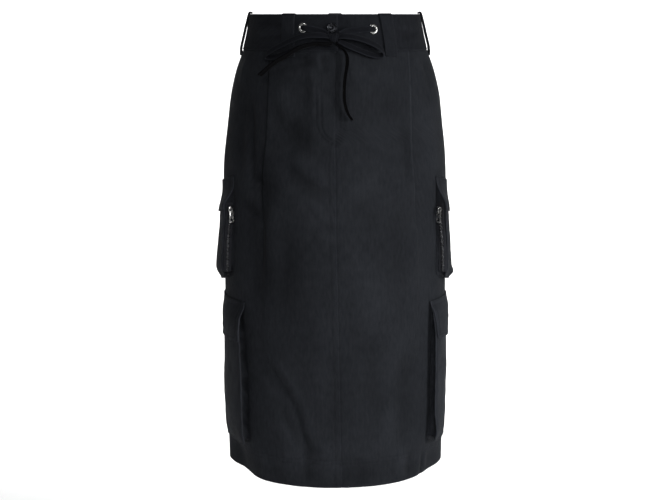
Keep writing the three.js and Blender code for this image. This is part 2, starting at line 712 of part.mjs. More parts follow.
function pullTab() {
  const { halfWidth, top, length, thickness, chamfer, corner } = pull;
  const { slotHalf, slotBottom, holeRadius, holeRise } = pull;
  const foot = top - length;
  const outline = new THREE.Shape();
  outline.moveTo(-halfWidth + chamfer, top);
  outline.lineTo(-halfWidth, top - chamfer);
  outline.lineTo(-halfWidth, foot + corner);
  outline.absarc(-halfWidth + corner, foot + corner, corner, Math.PI, 1.5 * Math.PI, false);
  outline.absarc(halfWidth - corner, foot + corner, corner, 1.5 * Math.PI, 2 * Math.PI, false);
  outline.lineTo(halfWidth, top - chamfer);
  outline.lineTo(halfWidth - chamfer, top);
  const slot = shapeFrom([[-slotHalf, -top], [-slotHalf, slotBottom], [slotHalf, slotBottom], [slotHalf, -top]]);
  const hole = new THREE.Path().absarc(0, foot + holeRise, holeRadius, 0, 2 * Math.PI, true);
  outline.holes.push(slot, hole);
  const tab = new THREE.ExtrudeGeometry(outline, { depth: thickness, bevelEnabled: false, curveSegments: 5 });
  return tab.translate(0, 0, -thickness / 2);
}

// Drawcord

function tapeStretch({ across, startWidth = tape.width, route }) {
  const width = new THREE.Vector3(...across).normalize();
  const points = route.map((point) => new THREE.Vector3(...point));
  return clothWall([-0.5, 0.5].map((share) => points.map((point, j) => (
    point.clone().addScaledVector(width, share * (j < 2 ? startWidth : tape.width))
  ))), tape.thickness);
}

function knotSolid() {
  const ball = new THREE.SphereGeometry(1, 14, 9);
  ball.scale(knot.halfX, knot.halfY, knot.halfZ);
  return ball.translate(knot.x, knot.y, knot.z);
}

// The whole skirt

for (const side of sides) {
  const { name } = side;
  addPiece(`front_panel_${name}`, frontPanel(side), 'twill');
  for (const pocket of [upperPocket, lowerPocket]) {
    addPiece(`pocket_${pocket.name}_${name}`, pocketTray(pocket, side), 'twill');
    addPiece(`flap_${pocket.name}_${name}`, pocketFlap(pocket, side), 'twill');
  }
  addPiece(`zip_${name}`, zipStrip(side), 'zipTape');
  addPiece(`slider_${name}`, sliderSolid(), 'steel', hingeFrame(side));
  addPiece(`zip_pull_${name}`, pullTab(), 'steel', hingeFrame(side));
}
addPiece('back_panel', backPanel(), 'twill');
addPiece('waistband', waistband(), 'band');
for (const loop of beltLoops) addPiece(`belt_loop_${loop.name}`, beltLoop(loop), 'twill');
for (const { name, along, depth } of eyelets) {
  addPiece(`eyelet_${name}`, eyelet(), 'steel', frameOn(along, depth, bandFace + seamGap));
}
addPiece('button', buttonDisc(), 'button', frameOn(button.along, button.depth, bandFace + 2 * seamGap));
addPiece('drawcord_knot', knotSolid(), 'cord');
for (const stretch of drawcord) addPiece(`drawcord_${stretch.name}`, tapeStretch(stretch), 'cord');

export default skirt;
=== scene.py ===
# A cargo utility skirt in dark cotton twill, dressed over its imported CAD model.
# Sizes in the settings are millimetres, as in the CAD; meshes are made in metres.
# "along" runs round the body from the centre front to the wearer's left, "depth" down from the band's top
# and "lift" outwards from the middle of the cloth.

import math
from contextlib import contextmanager

import bmesh
import bpy
import numpy as np
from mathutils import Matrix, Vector


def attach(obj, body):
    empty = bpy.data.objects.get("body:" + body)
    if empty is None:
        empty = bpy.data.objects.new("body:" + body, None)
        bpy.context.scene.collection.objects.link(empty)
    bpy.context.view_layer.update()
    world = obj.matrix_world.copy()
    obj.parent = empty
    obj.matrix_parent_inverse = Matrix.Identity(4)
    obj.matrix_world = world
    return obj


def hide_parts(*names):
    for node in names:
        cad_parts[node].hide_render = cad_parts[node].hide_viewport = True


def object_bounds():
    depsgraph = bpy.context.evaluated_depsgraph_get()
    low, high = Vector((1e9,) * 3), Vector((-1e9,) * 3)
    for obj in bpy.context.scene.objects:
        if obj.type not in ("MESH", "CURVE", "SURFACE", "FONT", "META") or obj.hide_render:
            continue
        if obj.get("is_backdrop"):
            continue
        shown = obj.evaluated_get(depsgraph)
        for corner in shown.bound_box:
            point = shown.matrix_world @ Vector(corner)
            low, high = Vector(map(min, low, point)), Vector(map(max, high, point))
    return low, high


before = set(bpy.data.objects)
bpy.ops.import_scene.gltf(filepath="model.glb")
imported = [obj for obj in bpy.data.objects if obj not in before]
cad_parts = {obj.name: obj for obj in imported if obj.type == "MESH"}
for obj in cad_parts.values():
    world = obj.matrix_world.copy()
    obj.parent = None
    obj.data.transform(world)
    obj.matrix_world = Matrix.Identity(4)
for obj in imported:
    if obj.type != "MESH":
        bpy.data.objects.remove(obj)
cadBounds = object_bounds()
print("frame loaded")

millimetre = 0.001
weldDistance = 1e-6
scene = bpy.context.scene


# Camera, light and backdrop

cameraSettings = {"place": (0.0, -1.780, 0.025), "pitch": 11.31, "lens": 63.24, "sensor": 36.0}

cameraData = bpy.data.cameras.new("camera")
cameraData.lens = cameraSettings["lens"]
cameraData.sensor_width = cameraSettings["sensor"]
cameraObject = bpy.data.objects.new("camera", cameraData)
cameraObject.location = cameraSettings["place"]
cameraObject.rotation_euler = (math.radians(90 - cameraSettings["pitch"]), 0, 0)
scene.collection.objects.link(cameraObject)
scene.camera = cameraObject

studio = {
    "world": (0.97, 0.98, 1.0), "worldStrength": 0.1,
    "lights": [
        {"name": "keyLight", "place": (1.35, -0.9, 0.05), "aim": (0, 0, -0.4), "size": 0.4, "power": 14.5},
        {"name": "fillLight", "place": (0.2, -1.7, 0.3), "aim": (0, 0, -0.5), "size": 0.5, "power": 8.5},
        {"name": "topLight", "place": (-0.35, -0.9, 1.4), "aim": (0, 0, -0.1), "size": 0.4, "power": 3},
        {"name": "wallLight", "place": (0, 0.35, 0.9), "aim": (0, 2.5, 0.5), "size": 1.0, "power": 62},
        {"name": "floorLight", "place": (0, 1.15, 0.75), "aim": (0, 1.4, -0.86), "size": 1.0, "power": 28},
    ],
    "floorHeight": -0.86, "floorSize": 1.9, "wallDistance": 2.5, "wallHeight": 2.6, "bend": 0.55,
}


def addLight(name, place, aim, size, power):
    data = bpy.data.lights.new(name, "AREA")
    data.shape = "DISK"
    data.size = size
    data.energy = power
    lamp = bpy.data.objects.new(name, data)
    lamp.location = place
    lamp.rotation_euler = (Vector(aim) - Vector(place)).to_track_quat("-Z", "Y").to_euler()
    scene.collection.objects.link(lamp)


for lightSettings in studio["lights"]:
    addLight(**lightSettings)
world = bpy.data.worlds.new("studio")
world.use_nodes = True
worldNode = world.node_tree.nodes["Background"]
worldNode.inputs["Color"].default_value = (*studio["world"], 1)
worldNode.inputs["Strength"].default_value = studio["worldStrength"]
scene.world = world
scene.view_settings.view_transform = "Standard"


# Curves and noise over arrays

def ease(value, low, high):
    share = np.clip((np.asarray(value, float) - low) / (high - low), 0, 1)
    return share * share * (3 - 2 * share)


def mix(first, second, share):
    return first + (second - first) * share


def hump(value, middle, half):  # 1 at the middle, falling away to both sides
    return np.exp(-((value - middle) / half) ** 2)


def read(rows, depth):  # smooth through the rows of a table, level past its ends, as in the CAD
    places = np.array([row[0] for row in rows], float)
    values = np.array([row[1] for row in rows], float)
    rises = np.diff(values) / np.diff(places)
    slopes = np.empty(len(places))
    slopes[0], slopes[-1] = rises[0], rises[-1]
    before, after = rises[:-1], rises[1:]
    bends = before * after > 0
    slopes[1:-1] = np.where(bends, 2 / (1 / np.where(bends, before, 1) + 1 / np.where(bends, after, 1)), 0)
    at = np.clip(np.asarray(depth, float), places[0], places[-1])
    i = np.clip(np.searchsorted(places, at, side="right") - 1, 0, len(places) - 2)
    span = places[i + 1] - places[i]
    t = (at - places[i]) / span
    start = values[i] * (1 + 2 * t) * (1 - t) ** 2 + slopes[i] * span * t * (1 - t) ** 2
    return start + values[i + 1] * (3 - 2 * t) * t ** 2 - slopes[i + 1] * span * (1 - t) * t ** 2


def softNoise(u, v, cell, seed):
    values = np.random.default_rng(seed).uniform(-1, 1, (64, 64))
    x, y = np.asarray(u, float) / cell, np.asarray(v, float) / cell
    i, j = np.floor(x).astype(int), np.floor(y).astype(int)
    s, t = x - i, y - j
    s, t = s * s * (3 - 2 * s), t * t * (3 - 2 * t)
    corner = lambda a, b: values[(i + a) % 64, (j + b) % 64]
    return mix(mix(corner(0, 0), corner(1, 0), s), mix(corner(0, 1), corner(1, 1), s), t)


def unit(vectors):
    return vectors / np.maximum(np.linalg.norm(vectors, axis=-1, keepdims=True), 1e-12)


def travelled(line):  # how far along a line each of its points is
    return np.concatenate([[0], np.cumsum(np.linalg.norm(np.diff(line, axis=0), axis=1))])


# The body of the skirt, repeated from the CAD

body = {
    "bandTop": 25, "bandHeight": 50, "hemDepth": 690, "cloth": 1.0,
    "halfWidth": [(0, 124.6), (50, 136.0), (84, 147.8), (120, 155.9), (156, 160.3), (210, 166.3), (250, 168.0),
                  (410, 169.4), (560, 170.2), (690, 168.6)],
    "flatness": [(0, .760), (50, .762), (84, .765), (120, .768), (156, .770), (210, .774), (250, .776),
                 (410, .785), (560, .787), (690, .792)],
}

flatGrid = np.linspace(0.75, 0.80, 26)
angleGrid = np.linspace(0, 2 * np.pi, 1441)
shareGrid = np.linspace(0, 1, 2049)
middleAngles = (angleGrid[1:] + angleGrid[:-1]) / 2
ringLengths = np.stack([
    np.concatenate([[0], np.cumsum(np.hypot(np.cos(middleAngles), flat * np.sin(middleAngles)) * angleGrid[1])])
    for flat in flatGrid])
ringTotals = ringLengths[:, -1]
ringAngles = np.stack([np.interp(shareGrid, row / row[-1], angleGrid) for row in ringLengths])


def girth(depth):
    return read(body["halfWidth"], depth) * np.interp(read(body["flatness"], depth), flatGrid, ringTotals)


def quarter(depth):
    return girth(depth) / 4


hemRows = (646.8, 653.2)

# Broad folds of the CAD (from along, from depth, to along, to depth, width, lift), and the finer creases that
# are laid on them (the same, then a bow to one side)
folds = {
    "front": [
        (-66, 214, -4, 256, 13, -2.6), (64, 228, 6, 258, 13, -2.4), (-112, 505, -60, 566, 12, -3.0),
        (-58, 570, -36, 650, 12, -2.6), (134, 300, 104, 470, 12, 2.2), (-184, 668, -170, 700, 26, -15),
        (180, 670, 170, 700, 24, -8),
    ],
    "back": [
        (-88, 150, -30, 215, 15, -2.4), (80, 165, 24, 222, 15, -2.4), (96, 470, 40, 590, 14, -2.8),
        (-52, 330, -60, 520, 16, 2.2), (-130, 640, -126, 700, 22, -5), (60, 620, 64, 700, 20, -4),
    ],
}
creases = {
    "front": [
        (-131, 120, -130, 262, 2.8, -1.9, 1), (-133, 226, -106, 246, 2.8, -2.0, 0), (-107, 205, -115, 375, 3, -1.1, 0),
        (-155, 266, -110, 294, 4, -1.0, 0), (-140, 150, -139, 270, 5, 0.5, 1),
        (-62, 200, -8, 240, 6, 1.2, -3), (60, 212, 12, 246, 6, 0.8, 3), (-76, 208, -12, 264, 9, -0.65, -3),
        (-110, 196, -104, 420, 9, -1.1, 3), (-124, 236, -124, 372, 6, 0.6, 2), (-64, 140, -40, 190, 8, -0.7, -4),
        (24, 262, 60, 300, 9, -0.5, 3), (-60, 256, -30, 300, 8, 0.6, 3),
        (-40, 262, -12, 292, 4, 0.7, 2), (-28, 300, -4, 322, 4, 0.5, -2),
        (-102, 496, -48, 572, 5, 0.9, 3), (-52, 560, -30, 640, 5, 0.8, -2),
        (-84, 57, -34, 62, 2.4, -1.1, 2), (-90, 64, -46, 67, 2.6, 0.9, -2), (-80, 70, -30, 69, 2.8, -0.9, 2),
        (-20, 53, -13, 80, 2.6, -1.2, -2), (-25, 53, -19, 76, 3, 0.8, -2), (-60, 80, -26, 84, 3.4, 0.6, 1),
        (-105, 503, -62, 562, 3.4, -1.2, 3), (-58, 566, -34, 640, 3.4, -1.1, -2), (-90, 560, -58, 628, 4, -0.7, 2),
        (138, 655, 137, 692, 3, 0.9, 1), (147, 650, 146, 692, 3, -0.9, 1), (156, 655, 155, 692, 3, 0.9, 1),
        (-48, 612, -44, 692, 4, -0.7, 2), (-116, 640, -112, 692, 4, 0.7, 1), (12, 640, 14, 692, 5, -0.5, 1),
        (-92, 96, -70, 150, 7, 0.8, 4), (-84, 120, -52, 196, 9, -0.7, -5),
        (-34, 70, -30, 132, 5, 0.5, 2), (20, 64, 44, 120, 7, 0.6, 4), (44, 84, 92, 96, 6, 0.6, 3),
        (60, 120, 104, 150, 8, -0.6, 4), (36, 150, 74, 190, 8, 0.5, -4), (98, 150, 112, 236, 5, -0.7, 2),
        (30, 330, 46, 470, 14, 0.7, 6), (56, 420, 64, 620, 12, -0.7, -6), (-24, 390, -20, 560, 13, 0.6, 5),
        (-70, 300, -84, 430, 12, -0.9, 6), (-90, 250, -98, 380, 7, 0.8, -3), (-132, 260, -126, 420, 7, -1.0, 4),
        (84, 250, 92, 400, 10, -0.6, 5), (110, 470, 104, 640, 9, -0.8, -4), (136, 120, 150, 230, 10, 0.8, 5),
        (-140, 110, -152, 220, 10, -0.7, -5), (-8, 470, 2, 610, 10, -0.5, 4), (78, 560, 70, 640, 8, 0.6, 3),
        (-84, 590, -72, 690, 8, 0.9, 3), (-18, 610, -12, 690, 8, 0.8, -2), (36, 640, 38, 690, 7, -0.7, 1),
        (96, 630, 98, 690, 6, 0.7, 2), (118, 640, 116, 690, 4, -0.8, 1),
        (142, 60, 160, 110, 5, -0.6, 3), (-146, 60, -160, 104, 6, 0.6, -3), (126, 56, 134, 84, 4, 0.5, 2),
    ],
    "back": [
        (-84, 140, -34, 204, 6, 0.9, 3), (76, 154, 30, 212, 6, 0.8, -3), (90, 460, 46, 572, 6, 0.8, 3),
        (-20, 60, -26, 130, 7, 0.6, 3), (40, 58, 52, 120, 6, -0.6, -3), (-96, 60, -110, 130, 8, 0.7, 4),
        (108, 60, 120, 140, 8, -0.7, 4), (-60, 240, -74, 380, 12, -0.8, 6), (16, 260, 26, 430, 14, 0.7, 6),
        (70, 280, 88, 430, 9, -0.7, -5), (-104, 420, -96, 600, 10, 0.8, 5), (-18, 460, -8, 620, 12, -0.7, -6),
        (120, 300, 112, 470, 9, 0.7, 4), (-132, 250, -128, 400, 8, -0.8, 4), (20, 610, 24, 690, 8, 0.7, 2),
        (-70, 620, -66, 690, 8, -0.8, 2), (104, 620, 100, 690, 7, 0.7, -2), (-30, 54, -4, 58, 2.4, -0.7, 1),
        (24, 56, 58, 54, 2.6, 0.7, -1), (-100, 56, -64, 59, 2.6, -0.7, 2), (-20, 172, 34, 180, 8, 0.6, 4),
    ],
}
texture = {
    "broadCell": 70, "broad": 1.2, "smallCell": 24, "small": 0.5, "fineCell": 10, "fine": 0.13, "crease": 3.2,
    "seamPucker": 0.35, "puckerCell": 7, "puckerReach": 7, "hemPuckerDepth": 650,
    # the last two entries on the next line set how much shade is painted into crease valleys and over the doubled hem
    "stitchGroove": 0.3, "grooveHalf": 0.9, "valleyPaintedShade": 0.085, "hemPaintedShade": 0.15,
    "zipAcross": 64, "zipReach": 9, "zipDepths": (238, 256, 390, 410), "zipCalm": 0.9,
}


def besideLine(line, along, depth):
    # the share of the way down a line, the distance to one side of it, and its length
    fromAlong, fromDepth, toAlong, toDepth = line
    run = np.array([toAlong - fromAlong, toDepth - fromDepth], float)
    length = np.hypot(*run)
    offset = (along - fromAlong, depth - fromDepth)
    share = (offset[0] * run[0] + offset[1] * run[1]) / length ** 2
    return share, (offset[0] * run[1] - offset[1] * run[0]) / length, length


def foldLift(rows, along, depth):
    lift = np.zeros(np.shape(along))
    for *line, width, height in rows:
        share, aside, length = besideLine(line, along, depth)
        past = np.maximum(0, np.abs(share - 0.5) - 0.4) * length
        lift += height * np.exp(-(aside ** 2 + past ** 2) / (2 * width ** 2))
    return lift


def creaseLift(rows, along, depth):
    lift = np.zeros(np.shape(along))
    for *line, width, height, bow in rows:
        share, aside, length = besideLine(line, along, depth)
        inside = np.clip(share, 0, 1)
        aside = aside - 4 * bow * inside * (1 - inside)
        fade = ease(share, -0.1, 0.3) * (1 - ease(share, 0.65, 1.1))
        soft = np.where(aside > 0, width * 1.7, width)  # one side of a crease is steeper
        lift += height * min(1, width / 5) * fade * np.exp(-0.5 * (aside / soft) ** 2)
    return lift


def clothLift(fromFront, depth, onlyFine=False):  # every fold, crease and ripple of the body cloth
    half = girth(depth) / 2
    fromBack = -(fromFront - np.where(fromFront < 0, -1, 1) * half)
    seamNear = np.abs(np.abs(fromFront) - half / 2)
    isFront = np.abs(fromFront) < half / 2
    lift = foldLift(folds["front"], fromFront, depth) + foldLift(folds["back"], fromBack, depth)
    fine = texture["crease"] * np.where(isFront, creaseLift(creases["front"], fromFront, depth),
                                        creaseLift(creases["back"], fromBack, depth))
    place = np.where(isFront, fromFront, fromBack + 1500)
    fine += texture["broad"] * softNoise(place, depth * 0.6, texture["broadCell"], 3)
    fine += texture["small"] * softNoise(place, depth * 0.8, texture["smallCell"], 5)
    fine += texture["fine"] * softNoise(place + 0.4 * depth, depth - 0.3 * place, texture["fineCell"], 6)
    waist = np.exp(-np.maximum(0, depth - body["bandHeight"]) / texture["puckerReach"])
    hem = hump(depth, texture["hemPuckerDepth"], 6) + 0.6 * hump(depth, body["hemDepth"], 8)
    fine += texture["seamPucker"] * (1.4 * waist + hem) * softNoise(place, 0 * depth, texture["puckerCell"], 8)
    fine = fine * ease(depth, 40, 62)
    if onlyFine:
        return fine
    starts, full, fades, gone = texture["zipDepths"]  # the cloth lies calm where a zip's gusset stands on it
    zipNear = (isFront * hump(seamNear, texture["zipAcross"], texture["zipReach"])
               * ease(depth, starts, full) * (1 - ease(depth, fades, gone)))
    for row in hemRows:
        lift = lift - texture["stitchGroove"] * hump(depth, row, texture["grooveHalf"])
    return lift + fine * ease(seamNear, 0, 14) * (1 - texture["zipCalm"] * zipNear)


def bodyPoint(along, depth, lift, fine=True):
    along, depth, lift = np.broadcast_arrays(*(np.asarray(value, float) for value in (along, depth, lift)))
    a = read(body["halfWidth"], depth)
    flat = read(body["flatness"], depth)
    b = a * flat
    whole = a * np.interp(flat, flatGrid, ringTotals)
    share = (along / whole) % 1
    row = np.clip((flat - flatGrid[0]) / (flatGrid[1] - flatGrid[0]), 0, len(flatGrid) - 1.001)
    column = share * (len(shareGrid) - 1)
    i, j = np.floor(row).astype(int), np.minimum(np.floor(column).astype(int), len(shareGrid) - 2)
    s, t = row - i, column - j
    angle = mix(mix(ringAngles[i, j], ringAngles[i + 1, j], s),
                mix(ringAngles[i, j + 1], ringAngles[i + 1, j + 1], s), t)
    normal = unit(np.stack([np.sin(angle) / a, -np.cos(angle) / b], -1))
    fromFront = np.where(share > 0.5, share - 1, share) * whole
    out = lift + (clothLift(fromFront, depth) if fine else 0)
    return millimetre * np.stack([a * np.sin(angle) + normal[..., 0] * out, -b * np.cos(angle) + normal[..., 1] * out,
                                  body["bandTop"] - depth], -1)


# Materials

def newMaterial(name):
    material = bpy.data.materials.new(name)
    material.use_nodes = True
    return material, material.node_tree


def setInput(tree, socket, value):  # another node's output is linked, anything else is a plain value
    if isinstance(value, bpy.types.NodeSocket):
        tree.links.new(value, socket)
    else:
        socket.default_value = value


def setShader(tree, values):
    for key, value in values.items():
        setInput(tree, tree.nodes["Principled BSDF"].inputs[key], value)


def addNode(tree, kind, values=None, **settings):
    node = tree.nodes.new(kind)
    for key, value in settings.items():
        setattr(node, key, value)
    for key, value in (values or {}).items():
        setInput(tree, node.inputs[key], value)
    return node


def addMath(tree, operation, first, second):
    node = addNode(tree, "ShaderNodeMath", operation=operation)
    for socket, value in zip(node.inputs, (first, second)):
        setInput(tree, socket, value)
    return node.outputs[0]


def addSum(tree, *terms):  # terms: (output, weight)
    parts = [addMath(tree, "MULTIPLY", output, weight) for output, weight in terms]
    total = parts[0]
    for part in parts[1:]:
        total = addMath(tree, "ADD", total, part)
    return total


def addNoise(tree, place, scale, detail, roughness=0.5):
    return addNode(tree, "ShaderNodeTexNoise", {"Vector": place, "Scale": scale, "Detail": detail,
                                                "Roughness": roughness}).outputs["Fac"]


def addBlend(tree, share, first, second):
    return addNode(tree, "ShaderNodeMixRGB", {"Fac": share, "Color1": first, "Color2": second}).outputs["Color"]


def addBump(tree, height, strength, distance):
    return addNode(tree, "ShaderNodeBump", {"Height": height, "Strength": strength,
                                            "Distance": distance}).outputs["Normal"]


def addRange(tree, value, low, high, fromLow=0.0, fromHigh=1.0):
    return addNode(tree, "ShaderNodeMapRange", {"Value": value, "From Min": fromLow, "From Max": fromHigh,
                                                "To Min": low, "To Max": high}).outputs["Result"]


def linearColour(red, green, blue):
    return tuple(((value / 255 + 0.055) / 1.055) ** 2.4 if value > 10 else value / 255 / 12.92
                 for value in (red, green, blue)) + (1,)


# Twill on the piece's own map, which is in metres: diagonal ribs, crossed by the yarns' floats
twill = {
    "pitch": 0.0011, "ribStretch": 0.62, "yarnStretch": 0.28, "reliefDepth": 0.00035,
    "ribs": 0.6, "yarns": 0.5, "slubs": 0.5, "cloudTone": 0.6, "reliefTone": 0.26, "speckTone": 1.4,
    # the last two entries on the next line give a painted light gradient: the colour darker near the band, paler
    # towards the hem
    "speckLevel": 0.46, "leastWear": 0.35, "paintedLightHeights": (0.05, 0.65), "fade": (0.9, 1.12),
    "roughness": 0.86, "roughSpread": 0.06, "sheen": 0.02, "sheenRoughness": 0.45, "specular": 0.03,
}


def clothMaterial(name, dark, light, worn, weave=0.35, turn=0.0):
    material, tree = newMaterial(name)
    place = addNode(tree, "ShaderNodeUVMap", uv_map="UVMap").outputs["UV"]
    ribPlace, yarnPlace = [
        addNode(tree, "ShaderNodeMapping", {"Vector": place, "Rotation": (0, 0, turn),
                                            "Scale": (1, stretch, 1)}).outputs["Vector"]
        for stretch in (twill["ribStretch"], twill["yarnStretch"])]
    ribs = addNode(tree, "ShaderNodeTexWave", {
        "Vector": ribPlace, "Scale": 2 * math.pi / (10 * twill["pitch"]), "Distortion": 0.6, "Detail": 1.0,
        "Detail Scale": 0.6}, bands_direction="DIAGONAL").outputs["Fac"]
    yarns = addNoise(tree, yarnPlace, 1500.0, 2.0, 0.6)
    slubs = addNoise(tree, yarnPlace, 260.0, 3.0, 0.65)
    clouds = addNoise(tree, place, 16.0, 3.0, 0.55)
    relief = addSum(tree, (ribs, twill["ribs"]), (yarns, twill["yarns"]), (slubs, twill["slubs"]))
    specks = addMath(tree, "SUBTRACT", slubs, twill["speckLevel"])
    tone = addSum(tree, (clouds, twill["cloudTone"]), (relief, twill["reliefTone"]), (specks, twill["speckTone"]))
    base = addBlend(tree, tone, linearColour(*dark), linearColour(*light))
    wear = addNode(tree, "ShaderNodeAttribute", attribute_name="wear").outputs["Fac"]
    rubbing = addMath(tree, "MULTIPLY", wear, addMath(tree, "ADD", twill["leastWear"], slubs))
    rubbed = addBlend(tree, rubbing, base, linearColour(*worn))
    # painted light and shade: the cloth's colour is painted paler towards the hem and on ridges, and painted darker in
    # valleys and along the pleats' edges
    height = addNode(tree, "ShaderNodeSeparateXYZ", {"Vector": place}).outputs["Y"]
    fade = addRange(tree, height, *twill["fade"], *twill["paintedLightHeights"])
    # the point attribute read here is painted shade where positive and painted light where negative
    paintedShade = addNode(tree, "ShaderNodeAttribute", attribute_name="paintedShade").outputs["Fac"]
    strength = addMath(tree, "MULTIPLY", fade, addMath(tree, "SUBTRACT", 1.0, paintedShade))
    withPaintedLight = addNode(tree, "ShaderNodeVectorMath", {"Vector": rubbed, "Scale": strength}, operation="SCALE")
    setShader(tree, {
        "Base Color": withPaintedLight.outputs["Vector"], "Normal": addBump(tree, relief, weave, twill["reliefDepth"]),
        "Roughness": addRange(tree, slubs, twill["roughness"] - twill["roughSpread"],
                              twill["roughness"] + twill["roughSpread"]),
        "Sheen Weight": twill["sheen"], "Sheen Roughness": twill["sheenRoughness"],
        "Specular IOR Level": twill["specular"],
    })
    return material


def tinted(tree, share, colour, factor):  # from a colour to the same colour times a factor
    return addBlend(tree, share, linearColour(*colour), linearColour(*(value * factor for value in colour)))


def metalMaterial(name, colour, roughness, scratches=0.1):
    material, tree = newMaterial(name)
    place = addNode(tree, "ShaderNodeTexCoord").outputs["Object"]
    grain = addNoise(tree, place, 900.0, 4.0, 0.6)
    smears = addNoise(tree, place, 140.0, 3.0)
    setShader(tree, {
        "Base Color": tinted(tree, smears, colour, 0.86), "Normal": addBump(tree, grain, scratches, 0.00006),
        "Roughness": addRange(tree, smears, roughness - 0.08, roughness + 0.12), "Metallic": 1.0,
    })
    return material


def threadMaterial(name, colour):
    material, tree = newMaterial(name)
    place = addNode(tree, "ShaderNodeTexCoord").outputs["Object"]
    plies = addNode(tree, "ShaderNodeTexWave", {"Vector": place, "Scale": 900.0, "Distortion": 1.5},
                    bands_direction="DIAGONAL").outputs["Fac"]
    setShader(tree, {
        "Base Color": tinted(tree, addNoise(tree, place, 60.0, 2.0), colour, 1.3),
        "Normal": addBump(tree, plies, 0.3, 0.0001), "Roughness": 0.75, "Specular IOR Level": 0.05,
    })
    return material


def paleMaterial(name, colour):
    material, tree = newMaterial(name)
    place = addNode(tree, "ShaderNodeTexCoord").outputs["Object"]
    shaded = (*(value * 0.985 for value in colour), 1)
    setShader(tree, {"Base Color": addBlend(tree, addNoise(tree, place, 2.0, 2.0), (*colour, 1), shaded),
                     "Roughness": 0.9})
    return material


twillCloth = clothMaterial("twillCloth", (30, 32, 36), (43, 45, 49), (54, 56, 62))
bandCloth = clothMaterial("bandCloth", (24, 25, 29), (36, 38, 42), (44, 46, 51), turn=0.2)
cordCloth = clothMaterial("cordCloth", (19, 20, 24), (27, 28, 32), (38, 40, 45), weave=0.3)
# the cord's tape painted much darker: painted shade for the hanging tails
tailCloth = clothMaterial("tailCloth", (6, 6, 8), (9, 9, 11), (9, 9, 11), weave=0.2)
zipTapeCloth = clothMaterial("zipTapeCloth", (34, 35, 38), (42, 43, 47), (60, 61, 66), weave=0.5)
brightSteel = metalMaterial("brightSteel", (214, 214, 212), 0.24)
darkMetal = metalMaterial("darkMetal", (40, 41, 44), 0.26, 0.2)
toothMetal = metalMaterial("toothMetal", (118, 119, 122), 0.25, 0.2)
darkThread = threadMaterial("darkThread", (27, 28, 32))
paleFloor = paleMaterial("paleFloor", (0.9, 0.9, 0.9))
print("materials made")


# Meshes

def smoothFaces(mesh):
    mesh.polygons.foreach_set("use_smooth", np.ones(len(mesh.polygons), bool))


def finishMesh(name, points, faces, uv=None, wear=None, paintedShade=None):
    mesh = bpy.data.meshes.new(name)
    mesh.from_pydata(np.asarray(points).tolist(), [], faces if isinstance(faces, list) else faces.tolist())
    if uv is not None:
        corners = np.empty(len(mesh.loops), int)
        mesh.loops.foreach_get("vertex_index", corners)
        mesh.uv_layers.new(name="UVMap").data.foreach_set("uv", np.asarray(uv)[corners].ravel())
    for label, values in (("wear", wear), ("paintedShade", paintedShade)):
        if values is not None:
            mesh.attributes.new(label, "FLOAT", "POINT").data.foreach_set("value", np.asarray(values, float).ravel())
    smoothFaces(mesh)
    mesh.update()
    return mesh


@contextmanager
def editing(mesh):
    solid = bmesh.new()
    solid.from_mesh(mesh)
    yield solid
    solid.to_mesh(mesh)
    solid.free()


def addPiece(name, mesh, material, replaced=(), bodyName="skirt"):
    piece = bpy.data.objects.new(name, mesh)
    scene.collection.objects.link(piece)
    if material:
        mesh.materials.clear()
        mesh.materials.append(material)
    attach(piece, bodyName)
    if replaced:
        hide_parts(*replaced)
    return piece


def joinMeshes(name, meshes):
    joined = bmesh.new()
    for mesh in meshes:
        joined.from_mesh(mesh)
    result = bpy.data.meshes.new(name)
    joined.to_mesh(result)
    joined.free()
    for mesh in meshes:
        bpy.data.meshes.remove(mesh)
    return result


def clothShell(name, middle, thickness, uv, wear, paintedShade=0.0):
    # a closed wall with a rounded rim about a grid of middle points: rows run down, columns across
    rows, columns = middle.shape[:2]
    down = np.gradient(middle, axis=0)
    across = np.gradient(middle, axis=1)
    normal = unit(np.cross(down, across))
    half = np.broadcast_to(np.asarray(thickness, float), (rows, columns))[..., None] * millimetre / 2
    outer, inner = middle + normal * half, middle - normal * half
    outward = np.zeros_like(middle)
    outward[0] -= unit(down[0])
    outward[-1] += unit(down[-1])
    outward[:, 0] -= unit(across[:, 0])
    outward[:, -1] += unit(across[:, -1])
    loop = ([(0, j) for j in range(columns - 1)] + [(i, columns - 1) for i in range(rows - 1)]
            + [(rows - 1, j) for j in range(columns - 1, 0, -1)] + [(i, 0) for i in range(rows - 1, 0, -1)])
    li, lj = np.array(loop).T
    rim = middle[li, lj] + unit(outward[li, lj]) * half[li, lj] * 0.8
    count = rows * columns
    at = np.arange(count).reshape(rows, columns)
    quads = np.stack([at[:-1, :-1], at[1:, :-1], at[1:, 1:], at[:-1, 1:]], -1).reshape(-1, 4)
    edge = at[li, lj]
    rimAt = 2 * count + np.arange(len(loop))
    nextEdge, nextRim = np.roll(edge, -1), np.roll(rimAt, -1)
    faces = np.concatenate([
        quads, quads[:, ::-1] + count,
        np.stack([edge, nextEdge, nextRim, rimAt], -1),
        np.stack([rimAt, nextRim, nextEdge + count, edge + count], -1)])
    points = np.concatenate([outer.reshape(-1, 3), inner.reshape(-1, 3), rim])
    flatUv, flatWear = uv.reshape(-1, 2), np.broadcast_to(wear, (rows, columns)).reshape(-1)
    # painted shade per point, the same on both sides of the cloth and on the rim
    flatShade = np.broadcast_to(paintedShade, (rows, columns)).reshape(-1)
    return finishMesh(name, points, faces, np.concatenate([flatUv, flatUv, flatUv[edge]]),
                      np.concatenate([flatWear, flatWear * 0.4, flatWear[edge]]),
                      np.concatenate([flatShade, flatShade, flatShade[edge]]))


def clothMap(along, depth):  # the piece's own map, in metres
    along, depth = np.broadcast_arrays(along, depth)
    return np.stack([along * millimetre + 0.5, depth * millimetre], -1)


